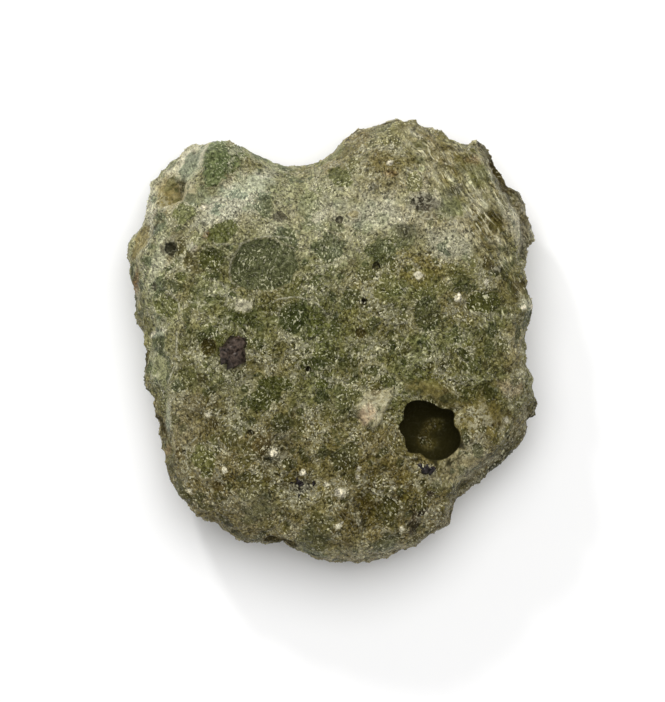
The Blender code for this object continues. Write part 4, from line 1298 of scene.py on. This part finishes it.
def kept(piece, replaces=None):
    """Hangs a finished piece under the one body, and hides the part of the solid that it replaces, if any."""
    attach(piece, "root")
    if replaces:
        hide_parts(replaces)
    return piece


# ---- settings ----

COLOUR_SETTING = {"size": 3, "min": 0, "max": 1, "subtype": "COLOR"}


class TrinititeSettings(bpy.types.PropertyGroup):
    """What a user may change."""

    rows: bpy.props.IntProperty(
        name="Skin rows", description="Rows of the grid on each of the skin's six sheets",
        default=122, min=20, max=126,
    )
    grain_size: bpy.props.FloatProperty(
        name="Sand grain", description="Usual width of a loose sand grain",
        default=0.00017, min=0.0001, max=0.001, precision=5, unit="LENGTH",
    )
    grain_count: bpy.props.IntProperty(
        name="Sand grains", description="How many sand grains stick out", default=15800, min=10, max=16600
    )
    quartz: bpy.props.FloatVectorProperty(
        name="Quartz", description="Colour of the clear and milky sand grains",
        default=(0.3, 0.275, 0.2), **COLOUR_SETTING,
    )
    ore: bpy.props.FloatVectorProperty(
        name="Ore", description="Colour of the black mineral grains",
        default=(0.011, 0.009, 0.009), **COLOUR_SETTING,
    )
    garnet: bpy.props.FloatVectorProperty(
        name="Red crystal", description="Colour of the dark red crystal",
        default=(0.029, 0.021, 0.016), **COLOUR_SETTING,
    )
    floor: bpy.props.FloatVectorProperty(
        name="Floor", description="Colour of the studio floor", default=(0.9, 0.9, 0.9), **COLOUR_SETTING
    )
    lamp_power: bpy.props.FloatProperty(
        name="Lights", description="Power of all the lamps, as a share of their own",
        default=1.0, min=0, max=10,
    )
    sky: bpy.props.FloatProperty(
        name="Fill light", description="Strength of the white surround", default=0.28, min=0
    )


# ---- operators ----

class TRINITITE_OT_skin(bpy.types.Operator):
    """Builds the fused lump with its bubbles, and paints it."""

    bl_idname = "trinitite.skin"
    bl_label = "Fused lump"

    def execute(self, context):
        mesh, bubbles = bubbled_lump(context.scene.trinitite.rows)
        paint_lump(mesh, bubbles)
        mesh.polygons.foreach_set("use_smooth", np.ones(len(mesh.polygons), bool))
        kept(linked("lump", mesh, crust_material("fused_glass")), NODE)
        if sum(len(polygon.vertices) - 2 for polygon in mesh.polygons) >= MOST_TRIANGLES:
            raise RuntimeError("the lump has too many triangles")
        return {"FINISHED"}


class TRINITITE_OT_sand(bpy.types.Operator):
    """Scatters half-buried sand grains, tinted like the glass round them, with some of milky quartz."""

    bl_idname = "trinitite.sand"
    bl_label = "Sand grains"

    def execute(self, context):
        settings = context.scene.trinitite
        draw = np.random.default_rng(SEED)
        places, normals, tint = sampled(bpy.data.objects["lump"].data, draw, settings.grain_count)
        usual = settings.grain_size / METRES_PER_MM
        sizes = np.minimum(usual * draw.lognormal(0, GRAIN_SPREAD, len(places)), LARGEST_GRAIN)
        mesh = grains_mesh("sand_grains", draw, places - normals * (sizes * GRAIN_SUNK)[:, None], sizes)
        milky = (draw.random(len(places)) < MILKY_SHARE)[:, None]
        shade = draw.uniform(*GRAIN_SHADES, (len(places), 1))
        milk = (1 - MILKINESS) * tint + MILKINESS * np.array(settings.quartz)
        # Painted sheen: a little pale colour stands in for the coat's sheen, which the grains lack.
        colours = np.clip(np.where(milky, milk, tint * shade + GRAIN_PAINTED_SHEEN), 0, LIGHTEST_GRAIN)
        set_colours(mesh, "tint", np.repeat(colours, len(BLOCK), axis=0))
        kept(linked("sand_grains", mesh, sand_material("sand_grain")))
        return {"FINISHED"}


class TRINITITE_OT_minerals(bpy.types.Operator):
    """Sets the larger grains in place: black ore, the dark red crystal and pale quartz."""

    bl_idname = "trinitite.minerals"
    bl_label = "Mineral grains"

    def execute(self, context):
        top = top_only(vertex_values(bpy.data.objects["lump"].data, "co"))
        for kind, (grade, clusters) in MINERALS.items():
            draw = np.random.default_rng(MINERAL_SEED)
            centres, sizes = [], []
            for x, y, spread, count, smallest, largest in clusters:
                plan = (x, y) + draw.normal(0, spread / 1.6, (count, 2))
                width = draw.uniform(smallest, largest, count)
                height = [surface_height(top, *place) for place in plan] - GRAIN_SUNK * width
                centres.append(np.column_stack([plan, height]))
                sizes.append(width)
            mesh = grains_mesh(f"{kind}_grains", draw, np.concatenate(centres), np.concatenate(sizes))
            base = getattr(context.scene.trinitite, kind)
            kept(linked(f"{kind}_grains", mesh, mineral_material(f"{kind}_mineral", base, grade)))
        return {"FINISHED"}


def shine(name, place, width, power, mirrored):
    """Adds a round lamp that shines on the middle of the floor."""
    lamp = bpy.data.lights.new(name, "AREA")
    lamp.shape = "DISK"
    lamp.size = width
    lamp.energy = power
    shining = linked(name, lamp)
    shining.location = place
    shining.rotation_euler = (-shining.location).to_track_quat("-Z", "Y").to_euler()
    shining.visible_camera = False
    shining.visible_glossy = mirrored


class TRINITITE_OT_stage(bpy.types.Operator):
    """Lays the pale floor and sets up the soft light and the camera."""

    bl_idname = "trinitite.stage"
    bl_label = "Studio"

    def execute(self, context):
        settings = context.scene.trinitite
        scene = context.scene
        floor_material = plain_material("studio_floor", settings.floor, 0.9)[0]
        corners = FLOOR_HALF * np.array([(-1, -1, 0), (1, -1, 0), (1, 1, 0), (-1, 1, 0)])
        mesh = new_mesh("studio_floor", corners, np.array([[0, 1, 2, 3]]))
        floor = linked("studio_floor", mesh, floor_material)

        scene.view_settings.view_transform = "Standard"
        world = bpy.data.worlds.new("studio")
        world.use_nodes = True
        world.node_tree.nodes["Background"].inputs["Color"].default_value = (1, 1, 1, 1)
        world.node_tree.nodes["Background"].inputs["Strength"].default_value = settings.sky
        scene.world = world
        for name, place, width, power, mirrored in LAMPS:
            shine(name, place, width, power * settings.lamp_power, mirrored)

        lens = bpy.data.cameras.new("camera")
        lens.sensor_width = SENSOR
        lens.lens = SENSOR * (VIEW_HEIGHT - MIDDLE_HEIGHT) / FRAME_HEIGHT
        lens.clip_start = 0.05
        lens.clip_end = 5
        camera = linked("camera", lens)
        camera.location = (0, FRAME_CENTRE_Y, VIEW_HEIGHT)
        scene.camera = camera
        return {"FINISHED"}


class TRINITITE_PT_panel(bpy.types.Panel):
    """Lists the settings and the steps that build the lump."""

    bl_idname = "TRINITITE_PT_panel"
    bl_label = "Trinitite"
    bl_space_type = "VIEW_3D"
    bl_region_type = "UI"
    bl_category = "Trinitite"

    def draw(self, context):
        for name in TrinititeSettings.__annotations__:
            self.layout.prop(context.scene.trinitite, name)
        for operator in OPERATORS:
            self.layout.operator(operator.bl_idname)


OPERATORS = (TRINITITE_OT_skin, TRINITITE_OT_sand, TRINITITE_OT_minerals, TRINITITE_OT_stage)
CLASSES = (TrinititeSettings, *OPERATORS, TRINITITE_PT_panel)


def register():
    """Adds the settings, the operators and the panel."""
    for each in CLASSES:
        bpy.utils.register_class(each)
    bpy.types.Scene.trinitite = bpy.props.PointerProperty(type=TrinititeSettings)


def unregister():
    """Takes them away again."""
    del bpy.types.Scene.trinitite
    for each in reversed(CLASSES):
        bpy.utils.unregister_class(each)


def main():
    """Builds the pieces and the studio."""
    register()
    bpy.ops.trinitite.skin()
    bpy.ops.trinitite.sand()
    bpy.ops.trinitite.minerals()
    bpy.ops.trinitite.stage()


if __name__ == "__main__":
    main()
